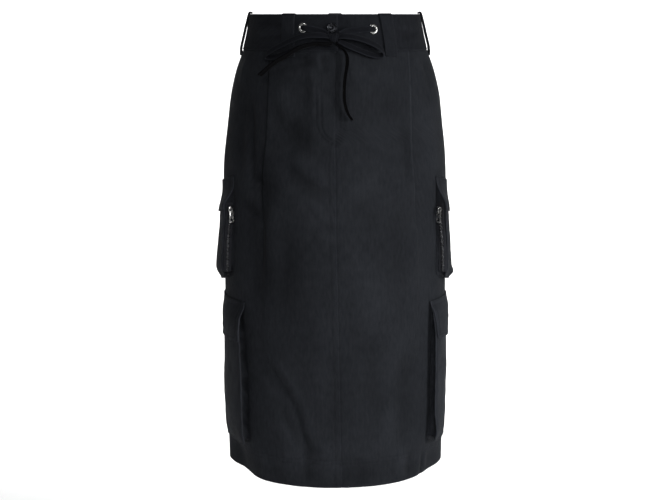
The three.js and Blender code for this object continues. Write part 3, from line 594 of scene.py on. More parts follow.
def ringFaces(at):  # quads between the rings of a grid of point numbers, each ring closed on itself
    return np.stack([at[:-1], np.roll(at, -1, 1)[:-1], np.roll(at, -1, 1)[1:], at[1:]], -1).reshape(-1, 4)


def outwardNormals(middle):  # of a grid of points, turned away from the body
    out = unit(np.cross(np.gradient(middle, axis=0), np.gradient(middle, axis=1)))
    return out * np.sign(np.sum(out * middle * np.array([1, 1, 0]), -1, keepdims=True) + 1e-9)


# Stitches and zip teeth: one tree sets a small shape at even steps along every line it is given

def repeatTree(name, material, asTooth):
    tree = bpy.data.node_groups.new(name, "GeometryNodeTree")
    sockets = {}
    for label, kind in (("Geometry", "Geometry"), ("Pitch", "Float"), ("Size", "Vector"), ("Wobble", "Float"),
                        ("Seed", "Int")):
        socket = tree.interface.new_socket(label, in_out="INPUT", socket_type="NodeSocket" + kind)
        sockets[label] = socket.identifier
    tree.interface.new_socket("Geometry", in_out="OUTPUT", socket_type="NodeSocketGeometry")
    source = addNode(tree, "NodeGroupInput").outputs
    lines = addNode(tree, "GeometryNodeMeshToCurve", {"Mesh": source["Geometry"]}).outputs["Curve"]
    steps = addNode(tree, "GeometryNodeResampleCurve", {"Curve": lines, "Length": source["Pitch"]}, mode="LENGTH")
    facing = addNode(tree, "GeometryNodeInputNamedAttribute", {"Name": "facing"}, data_type="FLOAT_VECTOR")
    turn = addNode(tree, "FunctionNodeAxesToRotation", {
        "Primary Axis": addNode(tree, "GeometryNodeInputTangent").outputs["Tangent"],
        "Secondary Axis": facing.outputs["Attribute"]}, primary_axis="X", secondary_axis="Z")
    if asTooth:
        block = addNode(tree, "GeometryNodeMeshCube", {"Size": (1, 1, 1)}).outputs["Mesh"]
        tip = addNode(tree, "GeometryNodeMeshCube", {"Size": (0.62, 0.5, 0.7)}).outputs["Mesh"]
        shifted = addNode(tree, "GeometryNodeTransform", {"Geometry": tip, "Translation": (0, 0.6, 0.1)})
        joined = addNode(tree, "GeometryNodeJoinGeometry")
        for part in (block, shifted.outputs["Geometry"]):
            tree.links.new(part, joined.inputs["Geometry"])
        shape = joined.outputs["Geometry"]
    else:
        shape = addNode(tree, "GeometryNodeMeshUVSphere", {"Segments": 6, "Rings": 4, "Radius": 0.5}).outputs["Mesh"]
    placed = addNode(tree, "GeometryNodeInstanceOnPoints", {
        "Points": steps.outputs["Curve"], "Instance": shape, "Rotation": turn.outputs["Rotation"],
        "Scale": source["Size"]})
    jitter = addNode(tree, "FunctionNodeRandomValue", {
        "Min": addMath(tree, "MULTIPLY", source["Wobble"], -1), "Max": source["Wobble"], "Seed": source["Seed"]},
        data_type="FLOAT_VECTOR")
    wobble = addNode(tree, "FunctionNodeEulerToRotation", {"Euler": jitter.outputs["Value"]})
    turned = addNode(tree, "GeometryNodeRotateInstances", {
        "Instances": placed.outputs["Instances"], "Rotation": wobble.outputs["Rotation"]})
    real = addNode(tree, "GeometryNodeRealizeInstances", {"Geometry": turned.outputs["Instances"]})
    coat = addNode(tree, "GeometryNodeSetMaterial", {"Geometry": real.outputs["Geometry"], "Material": material})
    addNode(tree, "NodeGroupOutput", {"Geometry": coat.outputs["Geometry"]})
    return tree, sockets


stitchTree, stitchSockets = repeatTree("stitchRow", darkThread, False)
toothTree, toothSockets = repeatTree("toothRow", toothMetal, True)


def repeatAlong(name, lines, facings, tree, sockets, values):
    # lines: arrays of points; facings: the outward direction at each of them
    points, edges = [], []
    for line in lines:
        start = sum(len(done) for done in points)
        edges += [(start + k, start + k + 1) for k in range(len(line) - 1)]
        points.append(line)
    mesh = bpy.data.meshes.new(name)
    mesh.from_pydata(np.concatenate(points).tolist(), edges, [])
    mesh.attributes.new("facing", "FLOAT_VECTOR", "POINT").data.foreach_set("vector", np.concatenate(facings).ravel())
    maker = bpy.data.objects.new(name + "Lines", mesh)
    scene.collection.objects.link(maker)
    modifier = maker.modifiers.new("repeat", "NODES")
    modifier.node_group = tree
    for label, value in values.items():
        modifier[sockets[label]] = value
    graph = bpy.context.evaluated_depsgraph_get()
    result = bpy.data.meshes.new_from_object(maker.evaluated_get(graph), depsgraph=graph)
    maker.modifiers.remove(modifier)
    bpy.data.objects.remove(maker)
    bpy.data.meshes.remove(mesh)
    result.name = name
    smoothFaces(result)
    return addPiece(name, result, None)


stitch = {"pitch": 3.0, "length": 2.2, "width": 0.5, "height": 0.42, "wobble": 0.05, "seat": 0.04}
stitchLines = {}  # group name: list of (points, facings)


def sewLine(group, along, depth, lift, fine=True):
    along, depth, lift = np.broadcast_arrays(*(np.asarray(value, float) for value in (along, depth, lift)))
    line = bodyPoint(along, depth, lift + stitch["seat"], fine)
    facing = unit(bodyPoint(along, depth, lift + 1, fine) - bodyPoint(along, depth, lift, fine))
    stitchLines.setdefault(group, []).append((line, facing))


def sewPoints(group, line, facing):
    stitchLines.setdefault(group, []).append((line + unit(facing) * stitch["seat"] * millimetre, unit(facing)))


# The drawcord: flat tape along the CAD's routes

tape = {"width": 9.5, "thickness": 1.6, "sampleStep": 1.6, "rim": 10, "taper": 12,
        "waver": 0.05, "waverCell": 9, "twist": 0.05, "twistCell": 18}
cordRoutes = {
    "lead_right": {"across": (0, 0, 1), "ends": (0.5, 0.7), "points": [
        (-45.7, -94.2, 6.9), (-45.4, -96.7, 6.8), (-43.2, -98.6, 6.6), (-37, -99.7, 5.6), (-28, -100.6, 4),
        (-19, -102, 1.4), (-9.3, -105.4, -1.8)]},
    "lead_left": {"across": (0, 0, 1), "ends": (0.5, 0.7), "points": [
        (54.6, -90.6, 5.1), (54.9, -93.2, 5.1), (52.8, -95.4, 5.1), (45, -97.3, 5), (34, -99.5, 4.4), (17, -102, 2),
        (5.3, -105.4, -1.6)]},
    "loop_right": {"across": (0, -0.64, -0.77), "ends": (0.7, 0.7), "points": [
        (-8.5, -110.2, -5.4), (-18, -111, -3.4), (-30, -110.8, -3.2), (-44, -109.2, -4.4), (-58, -106.2, -8.8),
        (-72, -101.6, -15.4), (-86, -95.2, -22.6), (-94, -90.6, -27.4), (-97.4, -88, -30.6), (-96.6, -87.4, -33.6),
        (-92, -89.4, -34.6), (-80, -95.4, -32.2), (-65, -101, -26.4), (-51, -104.2, -20.6), (-37, -105.4, -16.4),
        (-23, -106.2, -13.4), (-8.7, -107.6, -11.2)]},
    "loop_left": {"across": (0, -0.64, -0.77), "ends": (0.7, 0.7), "points": [
        (4.5, -110.4, -5.8), (13, -112.2, -4.6), (24, -112.6, -5.6), (38, -111.6, -8.8), (51, -109.2, -13.8),
        (60, -106.6, -18.6), (65.6, -104, -23), (68, -101.8, -27.2), (66.4, -100.8, -30.6), (62, -101.4, -32),
        (52, -103.4, -30.6), (38, -105, -25.8), (24, -106.2, -20), (13, -106.9, -15), (4.6, -107.6, -11.4)]},
    "tail_right": {"across": (-0.1, -0.82, 0.56), "ends": (0.75, 1.0), "points": [
        (-3.6, -115.1, -14.1), (-14, -118.1, -15.2), (-26, -118.4, -14.8), (-38, -118, -16.6), (-49, -115.8, -20.4),
        (-60, -112, -26.2), (-70, -108, -32.6), (-80, -102.6, -38), (-91, -96.6, -45.6), (-99, -91.6, -52.6),
        (-107, -86.4, -59.6)]},
    "tail_left": {"across": (0.38, -0.92, 0), "ends": (0.75, 1.0), "points": [
        (1.2, -110, -14.8), (8.3, -112.4, -20), (13.6, -113, -25), (16.6, -113.4, -31), (17.4, -114.8, -38),
        (16.6, -117, -47), (14.8, -119.4, -57), (13.4, -122.2, -70), (13, -125.4, -86), (14.4, -127.2, -99),
        (18.4, -128, -111), (24.2, -128.4, -120)]},
}


def smoothLine(points, step):
    points = np.array(points, float)
    padded = np.concatenate([[2 * points[0] - points[1]], points, [2 * points[-1] - points[-2]]])
    samples = []
    for p, q, r, s in zip(padded, padded[1:], padded[2:], padded[3:]):
        t = np.linspace(0, 1, 13)[:-1, None]
        samples.append(0.5 * (2 * q + (r - p) * t + (2 * p - 5 * q + 4 * r - s) * t ** 2
                              + (3 * q - p - 3 * r + s) * t ** 3))
    line = np.concatenate(samples + [points[-1:]])
    gone = travelled(line)
    even = np.linspace(0, gone[-1], max(8, int(gone[-1] / step)))
    return np.stack([np.interp(even, gone, line[:, k]) for k in range(3)], -1), gone[-1]


def ribbonMesh(name, line, across, widths, thickness, closed=False):
    # a flat tape with rounded edges that stand a little thicker than its middle
    tangent = unit(np.roll(line, -1, 0) - np.roll(line, 1, 0) if closed else np.gradient(line, axis=0))
    across = np.broadcast_to(np.asarray(across, float), line.shape)
    side = unit(across - np.sum(across * tangent, -1, keepdims=True) * tangent)
    out = np.cross(tangent, side)
    spread = np.linspace(-1, 1, tape["rim"])
    profile = [(u, 1 - 0.16 * (1 - u ** 2) if abs(u) < 0.99 else 0.45) for u in spread]
    ring = np.array(profile + [(u, -h) for u, h in profile[::-1]])
    count = len(ring)
    half = widths[:, None, None] / 2
    points = (line[:, None] + side[:, None] * ring[None, :, :1] * half
              + out[:, None] * ring[None, :, 1:] * thickness / 2)
    rows = len(line)
    at = np.arange(rows * count).reshape(rows, count)
    top = np.roll(at, -1, 0) if closed else at[1:]
    base = at if closed else at[:-1]
    quads = np.stack([base, np.roll(base, -1, 1), np.roll(top, -1, 1), top], -1).reshape(-1, 4)[:, ::-1]
    faces = quads.tolist()
    flat = points.reshape(-1, 3)
    if not closed:
        ends = [line[0] - tangent[0] * 0.25, line[-1] + tangent[-1] * 0.25]
        flat = np.concatenate([flat, ends])
        first, last = rows * count, rows * count + 1
        faces += [[k, (k + 1) % count, first] for k in range(count)]
        faces += [[(rows - 1) * count + (k + 1) % count, (rows - 1) * count + k, last] for k in range(count)]
    u = np.broadcast_to(np.linspace(0, 2.2, count)[None] * tape["width"], (rows, count))
    v = np.broadcast_to(travelled(line)[:, None], (rows, count))
    uv = np.stack([u, v], -1).reshape(-1, 2) * millimetre
    wear = np.broadcast_to(np.where(np.abs(ring[:, 0]) > 0.7, 0.7, 0.15)[None], (rows, count)).reshape(-1)
    if not closed:
        uv, wear = np.concatenate([uv, uv[[0, -1]]]), np.concatenate([wear, [0.6, 0.6]])
    mesh = finishMesh(name, flat * millimetre, faces, uv, wear)
    with editing(mesh) as solid:
        bmesh.ops.recalc_face_normals(solid, faces=solid.faces)
    return mesh


for cordName, route in cordRoutes.items():
    line, length = smoothLine(route["points"], tape["sampleStep"])
    steps = np.linspace(0, length, len(line))
    startShare, endShare = route["ends"]
    widths = tape["width"] * (startShare + (1 - startShare) * ease(steps, 0, tape["taper"]))
    widths = widths * (endShare + (1 - endShare) * ease(length - steps, 0, tape["taper"]))
    widths = widths * (1 + tape["waver"] * softNoise(steps, steps * 0, tape["waverCell"], len(cordName)))
    twist = tape["twist"] * softNoise(steps, steps * 0 + 3, tape["twistCell"], 21)[:, None]
    across = np.array(route["across"]) + twist * np.array([1.0, 0.3, 0.6])
    mesh = ribbonMesh("drawcord_" + cordName, line, across, widths, tape["thickness"])
    # the tails take the cord's tape painted darker, as painted shade
    piece = addPiece("drawcord-" + cordName, mesh, tailCloth if "tail" in cordName else cordCloth,
                     ["drawcord_" + cordName])
    cordRoutes[cordName]["piece"] = piece
    cordRoutes[cordName]["line"] = line

# The knot: a core of crushed tape under wraps of the same tape
knot = {
    "centre": (-2, -107.4, -7), "half": (7, 5.7, 6.5), "coreInset": (0.2, 1.4, 1.4), "wrapThickness": 1.5,
    "wraps": [  # name, tilt across, radii, width, shift, phase
        ("wrapMiddle", 1.3, (5.0, 5.9), 6.6, 0.6, 0.0), ("wrapLower", -1.6, (4.3, 5.2), 5.0, -3.4, 0.6),
        ("wrapUpper", 1.0, (4.2, 5.0), 4.6, 4.2, 0.3),
    ],
}
knotCentre, knotHalf = np.array(knot["centre"]), np.array(knot["half"])


def knotWrap(name, tiltAcross, radii, width, shift, phase):
    angle = np.linspace(0, 2 * np.pi, 49)[:-1] + phase
    ring = np.stack([tiltAcross * np.sin(angle) + shift, -radii[0] * np.cos(angle), radii[1] * np.sin(angle)], -1)
    line = knotCentre + ring
    return ribbonMesh(name, line, (1, 0, -0.0001), np.full(len(line), width), knot["wrapThickness"], closed=True)


coreAngles = np.meshgrid(np.linspace(0.02, np.pi - 0.02, 25), np.linspace(0, 2 * np.pi, 49)[:-1], indexing="ij")
coreBall = np.stack([np.cos(coreAngles[0]), np.sin(coreAngles[0]) * np.cos(coreAngles[1]),
                     np.sin(coreAngles[0]) * np.sin(coreAngles[1])], -1)
coreRipple = 0.9 + 0.07 * np.sin(5 * coreAngles[1] + 6 * coreBall[..., 0]) * np.sin(coreAngles[0])
corePoints = knotCentre + coreBall * (knotHalf - np.array(knot["coreInset"])) * coreRipple[..., None]
coreAt = np.arange(corePoints[..., 0].size).reshape(coreAngles[0].shape)
coreFaces = ringFaces(coreAt).tolist() + [coreAt[0].tolist()[::-1], coreAt[-1].tolist()]
coreUv = np.stack([coreAngles[1] * 6, coreAngles[0] * 9], -1).reshape(-1, 2) * millimetre
knotMesh = joinMeshes("drawcordKnot", [
    finishMesh("knotCore", corePoints.reshape(-1, 3) * millimetre, coreFaces, coreUv, np.full(coreAt.size, 0.2)),
    *(knotWrap(*wrap) for wrap in knot["wraps"]),
])
knotPiece = addPiece("drawcordKnot", knotMesh, cordCloth, ["drawcord_knot"])


# Panels

frontSeam = [(0, 3), (50, 0.5), (180, 0), (420, 4.5), (690, 10)]
fly = {"underlap": 26, "lift": 1.35, "lapWidth": 30, "fade": 14, "bottom": 155, "closed": 180, "lapEnd": 200,
       "settled": 240}
pleat = {
    "radius": 0.7, "ease": 46, "spread": 18, "crest": 1.5,
    "tuck": [(50, 20), (150, 17), (215, 10), (260, 6), (320, 4), (450, 3), (600, 1)],
    "turn": [(50, 180), (150, 180), (215, 160), (260, 105), (320, 50), (450, 26), (600, 0)],
}
# each side's entry after puff paints shade along its pleat's edge; a negative one paints light there
sides = {
    "right": {
        "sign": -1, "puff": {"upper": 1.3, "lower": 0.85}, "pleatPaintedShade": 0.5,
        "pleatLine": [(50, 98), (168, 102), (243, 112), (320, 109), (600, 110)],
        "lowerFront": [(420, 90), (540, 102), (648, 104)],
    },
    "left": {
        "sign": 1, "puff": {"upper": 0.9, "lower": 1.25}, "pleatPaintedShade": -0.45,
        "pleatLine": [(50, 113), (168, 115), (264, 122), (400, 130), (600, 130)],
        "lowerFront": [(420, 80), (500, 77), (600, 77), (648, 82)],
    },
}
panel = {"topTuck": 4.5, "tuckLift": -2.3, "flatColumns": 60, "foldColumns": 9, "restColumns": 78, "backColumns": 186,
         "hemRadius": 0.65, "hemTurn": 41, "seamGap": 0.3}


def seamAlong(depth):
    return read(frontSeam, depth)


def centreEdge(side, depth):
    if side["sign"] < 0:
        return -seamAlong(depth)
    under = 1 - ease(depth, fly["bottom"], fly["closed"])
    return seamAlong(depth) + panel["seamGap"] - (fly["underlap"] + panel["seamGap"]) * under


def flyLift(side, along, depth):
    if side["sign"] > 0:
        return 0 * along
    near = 1 - ease(along, fly["lapWidth"], fly["lapWidth"] + fly["fade"])
    return fly["lift"] * near * (1 - ease(depth, fly["lapEnd"], fly["settled"]))


def panelRows():
    # depths down the panel and the extra lift of each: tucked behind the band, then down, and turned up at the hem
    top = body["bandHeight"]
    tucked = [(top - panel["topTuck"], panel["tuckLift"]), (top - 1.6, panel["tuckLift"]), (top - 0.2, -1.9),
              (top + 0.6, -1.05), (top + 1.6, -0.4), (top + 3.2, -0.08)]
    depths = np.concatenate([np.linspace(top + 5, 112, 36), np.linspace(114, 644, 166), np.linspace(645, 656, 12),
                             np.linspace(658.5, body["hemDepth"] - panel["hemRadius"], 11)])
    turn = np.linspace(0, np.pi, 7)[1:]
    r = panel["hemRadius"]
    turned = [(body["hemDepth"] - r + r * math.sin(angle), -r * (1 - math.cos(angle))) for angle in turn]
    inside = [(depth, -2 * r) for depth in np.linspace(body["hemDepth"] - 5, body["hemDepth"] - panel["hemTurn"], 6)]
    rows = tucked + [(depth, 0) for depth in depths] + turned + inside
    return np.array(rows).T


def frontSection(side, depth):
    # along and lift of every column at each depth: to the pleat, through its fold and on to the side seam
    crest, tuck = read(side["pleatLine"], depth), read(pleat["tuck"], depth)
    turn = np.radians(read(pleat["turn"], depth))
    r, n = pleat["radius"], panel["foldColumns"]
    over = [(crest + r * np.sin(turn * s), -r * (1 - np.cos(turn * s))) for s in np.linspace(0, 1, n)]
    foldUp = pleat["crest"] * ease(np.degrees(turn), 20, 150)
    over = [(along, drop + foldUp) for along, drop in over]
    foldAlong, foldDrop = over[-1]
    backAlong, backDrop = foldAlong + tuck * np.cos(turn), foldDrop - foldUp - tuck * np.sin(turn)
    between = [(mix(foldAlong, backAlong, s), mix(foldDrop, backDrop, s)) for s in (0.2, 0.4, 0.6, 0.8)]
    under = [(backAlong + r * (np.sin(turn) - np.sin(turn * s)), backDrop + r * (np.cos(turn) - np.cos(turn * s)))
             for s in np.linspace(1, 0, n)]
    stations = over + between + under
    opening = 1 - ease(np.degrees(turn), 20, 90)
    spread = np.linspace(-0.5, 0.5, len(stations)) * pleat["spread"]
    fold = [(along + shift * opening, drop) for (along, drop), shift in zip(stations, spread)]
    edge = centreEdge(side, depth)
    shares = np.linspace(0, 1, panel["flatColumns"]) ** 1.3
    flat = [mix(edge, fold[0][0] - 2, share) for share in shares]
    flat = [(along, flyLift(side, along, depth) + foldUp * hump(crest, along, 9)) for along in flat]
    startAlong, startLift = fold[-1]
    end = quarter(depth) - panel["seamGap"] / 2
    rest = [mix(startAlong, end, share) for share in np.linspace(0, 1, panel["restColumns"])[1:]]
    rest = [(along, startLift * (1 - ease((along - startAlong) / pleat["ease"], 0, 1))) for along in rest]
    columns = flat + fold + rest
    along = np.stack([column[0] for column in columns], -1)
    lift = np.stack([np.broadcast_to(column[1], depth.shape) for column in columns], -1)
    return along, lift


def seamGroove(distance):  # cloth turns in at a seam, beside the ridge of its allowance
    return -0.55 * hump(distance, 0, 1.1) + 0.28 * hump(distance, 5, 4.5)


# the fly's stitched curve as ellipses: the centre's along (outwards) and depth, half width, height
flyCurves = {"right": [(-9, 146, 34, 35), (-4, 146, 22.6, 28.6)], "left": [(0, 152, 14, 29), (0, 152, 8.6, 22.6)]}


def paintedClothShade(fromFront, depth):
    # painted shade darker in the valleys of the creases, painted light paler on their ridges, and painted shade over
    # the doubled hem
    paintedHemShade = texture["hemPaintedShade"] * ease(depth, 650, 674)
    return np.clip(-texture["valleyPaintedShade"] * clothLift(fromFront, depth, True), -0.14, 0.34) + paintedHemShade


# stitched rows beside the centre edge: distance in, from depth, to depth
seamRows = {"right": [(2.0, 184, 690), (8.4, 184, 690), (18.6, 52, 146), (25, 52, 146)], "left": []}
rowDepths, rowLifts = panelRows()
for sideName, side in sides.items():
    along, lift = frontSection(side, rowDepths)
    depth = np.broadcast_to(rowDepths[:, None], along.shape)
    toSide = quarter(depth) - along
    toCentre = along - centreEdge(side, depth)
    openSeam = ease(depth, fly["bottom"], fly["closed"])
    lift = lift + rowLifts[:, None] + seamGroove(toSide) + seamGroove(toCentre) * openSeam
    for aside, fromDepth, toDepth in seamRows[sideName]:
        near = ease(depth, fromDepth - 2, fromDepth + 2) * (1 - ease(depth, toDepth - 2, toDepth + 2))
        lift = lift - texture["stitchGroove"] * near * hump(along + seamAlong(depth), aside, texture["grooveHalf"])
    turned = 0 * along
    for middleAlong, middleDepth, wide, tall in flyCurves[sideName]:
        outOf = np.hypot((along - middleAlong) / wide, np.maximum(0, depth - middleDepth) / tall) - 1
        below = ease(depth, middleDepth - 40, middleDepth - 20) * (along * side["sign"] < middleAlong + wide + 4)
        turned = turned + below * hump(outOf * min(wide, tall), 0, 1.0)
    lift = lift - 0.4 * turned
    middle = bodyPoint(side["sign"] * along, depth, lift)
    walked = np.concatenate([np.zeros((len(rowDepths), 1)), np.cumsum(np.hypot(
        np.diff(along, axis=1), np.diff(lift, axis=1)), axis=1)], axis=1)
    hemWalk = np.concatenate([[0], np.cumsum(np.hypot(np.diff(rowDepths), np.diff(rowLifts)))])
    uv = clothMap(walked, hemWalk[:, None])
    wear = 0.5 * np.exp(-np.abs(depth - body["hemDepth"]) / 1.5) + 0.3 * np.exp(-toSide / 1.5)
    wear = wear + 0.35 * np.exp(-np.maximum(0, toCentre) / 1.2)
    crest = read(side["pleatLine"], depth)
    # painted shade along the pleat's edge on the wearer's right and painted light on the wearer's left, and painted
    # shade along the fly's stitched curve
    pleatPaintedShade = hump(along - crest, 0.6, 1.4) * (1 - ease(depth, 190, 330))
    paintedShade = paintedClothShade(side["sign"] * along, depth) + side["pleatPaintedShade"] * pleatPaintedShade + 0.3 * turned
    mesh = clothShell("frontPanel" + sideName.title(), middle, body["cloth"], uv, wear, paintedShade)
    piece = addPiece("frontPanel" + sideName.title(), mesh, twillCloth, ["front_panel_" + sideName])

backShare = np.linspace(0, 1, panel["backColumns"])[None]
backDepth = np.broadcast_to(rowDepths[:, None], (len(rowDepths), panel["backColumns"]))
backStart = quarter(backDepth) + panel["seamGap"] / 2
backAlong = mix(backStart, girth(backDepth) - backStart, backShare)
toSeam = np.minimum(backAlong - backStart, girth(backDepth) - backStart - backAlong)
backMiddle = bodyPoint(backAlong, backDepth, rowLifts[:, None] + seamGroove(toSeam))
backWear = 0.5 * np.exp(-np.abs(backDepth - body["hemDepth"]) / 1.5) + 0.3 * np.exp(-toSeam / 1.5)
backFromFront = np.where(backAlong > girth(backDepth) / 2, backAlong - girth(backDepth), backAlong)
backMesh = clothShell("backPanel", backMiddle, body["cloth"], clothMap(backAlong, hemWalk[:, None]), backWear,
                      paintedClothShade(backFromFront, backDepth))
backPiece = addPiece("backPanel", backMesh, twillCloth, ["back_panel"])
print("panels made")

# Stitched lines on the panels
outside = body["cloth"] / 2
for hemRow in hemRows:
    sewLine("stitchesHem", np.linspace(0, girth(hemRow), 500), hemRow, outside)
seamDepths = np.linspace(184, 688, 200)
for aside in (2.0, 8.4):  # down the centre edge, below the fly
    sewLine("stitchesFront", seamAlong(seamDepths) - aside, seamDepths,
            outside + flyLift(sides["right"], np.full(200, aside), seamDepths))
for aside, bottom, endAlong in ((25, 181, 9), (18.6, 174.6, 4)):  # the fly's curve, as far as the edge
    straight = np.linspace(52, 146, 60)
    swing = np.linspace(0, np.pi / 2, 40)[1:]
    curveAlong = endAlong - (endAlong + aside) * np.cos(swing)
    curveDepth = 146 + (bottom - 146) * np.sin(swing)
    flyAlong = np.concatenate([np.full(60, -aside), curveAlong])
    flyDepth = np.concatenate([straight, curveDepth])
    keep = flyAlong < -0.8
    sewLine("stitchesFront", flyAlong[keep], flyDepth[keep], outside + fly["lift"])
for aside, bottom in ((14, 181), (8.6, 174.6)):  # its return up the left panel
    swing = np.linspace(0.35, np.pi / 2, 30)
    upAlong = np.concatenate([aside * np.sin(swing), np.full(24, aside)])
    upDepth = np.concatenate([152 + (bottom - 152) * np.cos(swing), np.linspace(151, 112, 24)])
    sewLine("stitchesFront", upAlong, upDepth, outside)
for sign in (-1, 1):  # beside the side seams, where no pocket covers them
    for aside in (1.8, 8.0):
        for fromDepth, toDepth in ((52, 246), (400, 420)):
            run = np.linspace(fromDepth, toDepth, 60)
            sewLine("stitchesBack", sign * (quarter(run) + aside), run, outside)


# Waistband with what is set into it

band = {
    "underlap": -34, "end": 3, "underLift": -2.8, "rise": 20, "thickness": 2.4, "columns": 440,
    "stitchInset": 2.2, "wrinkles": [
        (-120, 14, -72, 17, 2.6, -0.5, 2), (-128, 24, -74, 27, 2.8, 0.55, -2), (-112, 34, -60, 33, 2.6, -0.5, 2),
        (-92, 40, -62, 43, 2.2, 0.4, 1), (-60, 30, -26, 33, 2.4, 0.35, -1), (-62, 12, -50, 14, 2, -0.35, 1),
        (12, 24, 52, 20, 2.4, 0.4, 1), (14, 31, 46, 33, 2.2, -0.4, -1), (60, 12, 74, 30, 2.6, 0.4, 2),
        (92, 18, 132, 22, 2.6, 0.45, 2), (96, 34, 140, 31, 2.4, -0.4, 1), (90, 42, 118, 44, 2, 0.35, 1),
        (170, 14, 214, 18, 2.6, -0.5, 2), (230, 30, 280, 26, 2.8, 0.5, -2), (300, 16, 340, 20, 2.4, -0.4, 1),
        (-200, 18, -160, 14, 2.6, 0.45, 2), (-260, 32, -214, 28, 2.6, -0.5, 2), (-330, 22, -280, 26, 2.4, 0.4, 1),
    ],
}
eyelets = [{"name": "right", "along": -45.5, "depth": 18}, {"name": "left", "along": 54.5, "depth": 20}]
button = {"along": -4.8, "depth": 18.5}


def bandLift(along, depth):
    lift = 4.2 * creaseLift(band["wrinkles"], along, depth)
    lift = lift + 0.25 * softNoise(along * 0.5, depth, 12, 31) + 0.12 * softNoise(along, depth * 0.3, 6, 32)
    edge = np.minimum(depth, body["bandHeight"] - depth)
    lift = lift * ease(edge, 0, 8) - 0.22 * hump(edge, band["stitchInset"], 1.1)
    for spot in [*eyelets, button]:
        away = np.hypot(along - spot["along"], depth - spot["depth"])
        lift = lift * ease(away, 6, 13) - 0.35 * np.exp(-(away / 5.5) ** 4)
    return lift


def wrapBack(along, depth):
    half = girth(depth) / 2
    return (along + half) % (2 * half) - half


bandShare = np.concatenate([np.linspace(0, 0.11, 60), np.linspace(0.11, 1, band["columns"] - 59)[1:]])[None]
bandDepths = np.concatenate([[0, 0.7, 1.6, 2.2, 2.8, 4], np.linspace(6, 44, 24), [46, 47.2, 47.8, 48.4, 49.3, 50]])
bandDepth = np.broadcast_to(bandDepths[:, None], (len(bandDepths), bandShare.size))
bandEnd = girth(bandDepth) + band["end"]
bandAlong = mix(band["underlap"], bandEnd, bandShare)
bandOut = ease(bandAlong, band["end"] + 1, band["end"] + 1 + band["rise"])
onTop = ease(bandAlong, 6, 26)
bandFine = bandLift(wrapBack(bandAlong, bandDepth), bandDepth) * onTop
bandMiddle = bodyPoint(bandAlong, bandDepth, band["underLift"] * (1 - bandOut) + bandFine, fine=False)
fromRim = np.minimum(bandDepth, body["bandHeight"] - bandDepth)
bandThick = band["thickness"] * (1 - 0.16 * hump(fromRim, band["stitchInset"], 1.0))
bandWear = 0.5 * np.exp(-fromRim) + 0.4 * np.exp(bandAlong - bandEnd)
# painted shade in the band's wrinkle valleys, painted light on their ridges
bandMesh = clothShell("waistband", bandMiddle, bandThick, clothMap(bandAlong, bandDepth), bandWear,
                      np.clip(-0.16 * bandFine, -0.12, 0.3))
bandPiece = addPiece("waistbandCloth", bandMesh, bandCloth, ["waistband"])


def sewBand(along, depth):
    along, depth = np.broadcast_arrays(np.asarray(along, float), np.asarray(depth, float))
    lift = band["thickness"] / 2 + bandLift(wrapBack(along, depth), depth) - 0.05
    sewLine("stitchesBand", along, depth, lift, fine=False)


for bandRow in (band["stitchInset"], body["bandHeight"] - band["stitchInset"]):
    sewBand(np.linspace(26, girth(bandRow) + band["end"] - 2.2, 480), bandRow)
sewBand(girth(25) + band["end"] - 2.2 + np.zeros(30), np.linspace(3, 47, 30))
print("waistband made")

# Belt loops
loop = {"width": 19, "thickness": 1.6, "rows": 60, "columns": 15, "crown": 0.35}
flatPath = [(-1, -1.1), (1.8, -1.1), (3.3, 1.6), (3.9, 10), (4.0, 25), (3.8, 40), (3.0, 49), (1.8, 54), (1.65, 58)]
proudPath = [(-1, -2.2), (2.2, -3.4), (3.7, 1.6), (3.9, 9), (4.3, 18), (4.6, 30), (4.8, 42), (4.3, 49.5), (3.0, 54.5),
             (1.75, 58.5)]
beltLoops = [
    {"name": "front_right", "along": -67, "slant": 0, "path": flatPath},
    {"name": "front_left", "along": 77.5, "slant": 0.18, "path": flatPath},
    {"name": "side_right", "quarters": -1, "path": proudPath},
    {"name": "side_left", "quarters": 1, "path": proudPath},
    {"name": "back", "quarters": 2, "path": flatPath},
]
for loopIndex, item in enumerate(beltLoops):
    path, _ = smoothLine([(lift, depth, 0) for lift, depth in item["path"]], 60 / loop["rows"])
    loopLift, loopDepth = path[:, :1], path[:, 1:2]
    share = np.linspace(-1, 1, loop["columns"])[None]
    if "quarters" in item:
        centre = item["quarters"] * quarter(loopDepth)
    else:
        centre = item["along"] + item["slant"] * (loopDepth - 25)
    swell = 1 + 0.03 * softNoise(loopDepth, loopDepth * 0 + loopIndex, 14, 41)
    loopAlong = centre + share * loop["width"] / 2 * swell
    loopRise = loopLift + loop["crown"] * (1 - share ** 2) * ease(loopDepth, 0, 12) \
        + 0.15 * softNoise(loopAlong, loopDepth, 9, 42)
    loopMiddle = bodyPoint(loopAlong, loopDepth, loopRise, fine=False)
    travel = np.arange(len(path))[:, None] * 1.0
    loopUv = clothMap(np.broadcast_to(share * 9.5, loopRise.shape), np.broadcast_to(travel, loopRise.shape))
    loopWear = 0.1 + 0.35 * np.exp(-(1 - np.abs(share)) * 9) + 0 * loopRise
    name = "beltLoop" + "".join(word.title() for word in item["name"].split("_"))
    thick = loop["thickness"] + (0.8 if "quarters" in item else 0)
    mesh = clothShell(name, loopMiddle, thick, loopUv, loopWear)
    addPiece(name, mesh, bandCloth, ["belt_loop_" + item["name"]])
    out = outwardNormals(loopMiddle)
    surface = loopMiddle + out * thick / 2 * millimetre
    for column in (2, loop["columns"] - 3):
        sewPoints("stitchesBand", surface[6:-3, column], out[6:-3, column])
    for row in (8, -7, -6):  # bar tacks
        sewPoints("stitchesBand", surface[row, 1:-1], out[row, 1:-1])
print("belt loops made")


# Bellows pockets and their flaps

